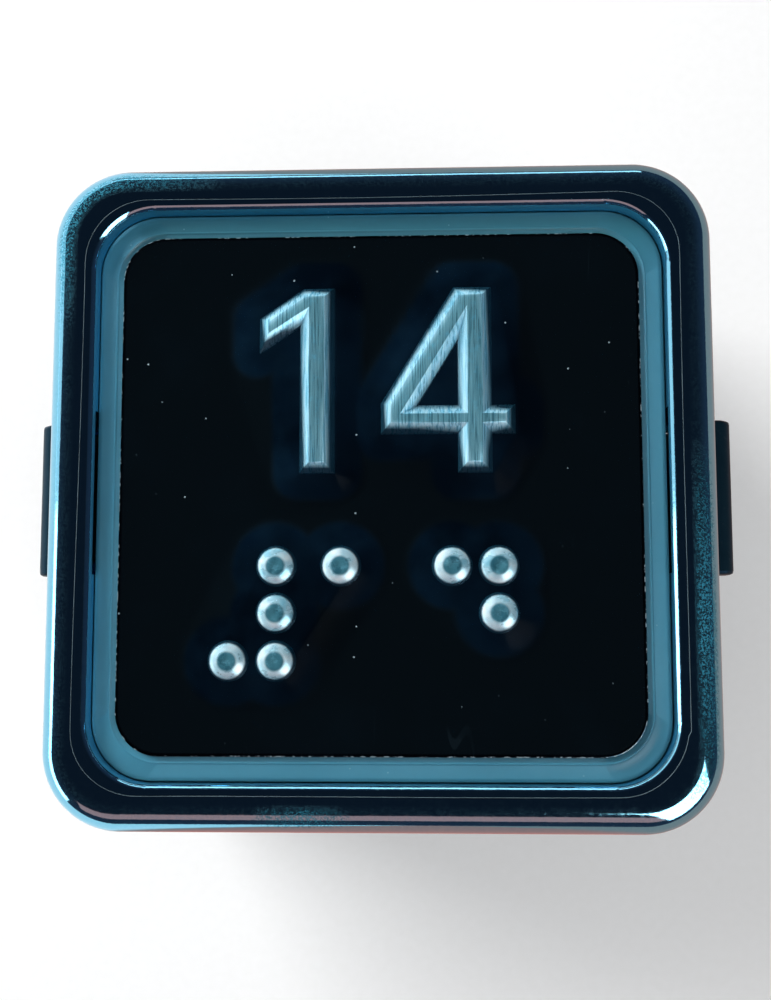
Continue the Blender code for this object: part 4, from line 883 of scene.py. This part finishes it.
painted_reflection = add_node(tree, "ShaderNodeEmission", {"Color": painted_reflection, "Strength": 1.0}).outputs[0]
both = add_node(tree, "ShaderNodeMixShader", {0: path["Is Glossy Ray"], 1: both, 2: painted_reflection}).outputs[0]
tree.links.new(both, tree.nodes["Material Output"].inputs["Surface"])
form = bmesh.new()
bmesh.ops.create_grid(form, x_segments=1, y_segments=1, size=1.5)
bmesh.ops.translate(form, vec=(0, 0, -0.02 * MM), verts=form.verts)
as_piece("table", form, white_paper)

world = bpy.data.worlds.new("studio")
bpy.context.scene.world = world
world.use_nodes = True
tree = world.node_tree
backdrop = tree.nodes["Background"]
up = add_node(tree, "ShaderNodeSeparateXYZ",
              {0: add_node(tree, "ShaderNodeTexCoord").outputs["Generated"]}).outputs["Z"]
dimmed = add_node(tree, "ShaderNodeMapRange", {0: up, 1: 0.0, 2: 0.8, 3: 0.06, 4: 0.018},
                  interpolation_type="SMOOTHSTEP").outputs[0]
seen = add_node(tree, "ShaderNodeLightPath").outputs["Is Camera Ray"]
strength = add_node(tree, "ShaderNodeMix", {0: seen, 2: dimmed, 3: 1.0}).outputs[0]
tint = add_node(tree, "ShaderNodeMix", {0: seen, 6: linear("#C4CFFF"), 7: (1, 1, 1, 1)},
                data_type="RGBA").outputs[2]
dress(backdrop, Strength=strength, Color=tint)


def soft_box(name, azimuth, elevation, distance, width, height, brightness, mirrored=True, lights=True,
             colour="#FFFFFF"):
    """A flat lamp that faces the button; its brightness is the light that each patch of it gives."""
    lamp = bpy.data.lights.new(name, "AREA")
    lamp.shape = "RECTANGLE"
    lamp.size, lamp.size_y = width, height
    lamp.energy = brightness * math.pi * width * height
    lamp.color = linear(colour)[:3]
    box = bpy.data.objects.new(name, lamp)
    bpy.context.scene.collection.objects.link(box)
    a, e = math.radians(azimuth), math.radians(elevation)
    toward = Vector((math.cos(a) * math.cos(e), math.sin(a) * math.cos(e), math.sin(e)))
    box.location = toward * distance + Vector((0, 0, FRONT * MM))
    box.rotation_euler = toward.to_track_quat("Z", "Y").to_euler()
    box.visible_glossy, box.visible_diffuse = mirrored, lights


# Azimuth and elevation in degrees, then distance, width and height in metres, and brightness.
soft_box("main_light", 142, 27, 0.3, 0.2, 0.2, 12.0, mirrored=False)
soft_box("overhead_light", 0, 90, 0.5, 0.4, 0.4, 1.1, mirrored=False)
soft_box("left_panel", 150, 7, 0.5, 0.7, 0.16, 1.0)
soft_box("top_strip", 95, 7, 0.5, 0.36, 0.05, 1.8)
soft_box("left_glow", 197, 7, 0.5, 0.4, 0.12, 3.5)
soft_box("fill_box", -45, 33, 0.4, 0.26, 0.19, 3.2, mirrored=False)
soft_box("corner_card", -45, 33, 0.38, 0.26, 0.3, 5.0, lights=False)
soft_box("near_card", -95, 30, 0.5, 0.7, 0.17, 0.9, lights=False, colour="#FF9488")

# The camera was fitted to the edges of the plate, the ring, the bezel and the wings.
lens = bpy.data.cameras.new("camera")
lens.sensor_fit = "AUTO"
lens.sensor_width = 36.0
lens.lens = 43.2
lens.clip_start = 0.001
camera = bpy.data.objects.new("camera", lens)
bpy.context.scene.collection.objects.link(camera)
camera.location = (2.9 * MM, -7.1 * MM, 83.8 * MM)
camera.rotation_euler = (math.radians(5.86), math.radians(2.29), math.radians(-0.05))
bpy.context.scene.camera = camera
bpy.context.scene.view_settings.view_transform = "Standard"
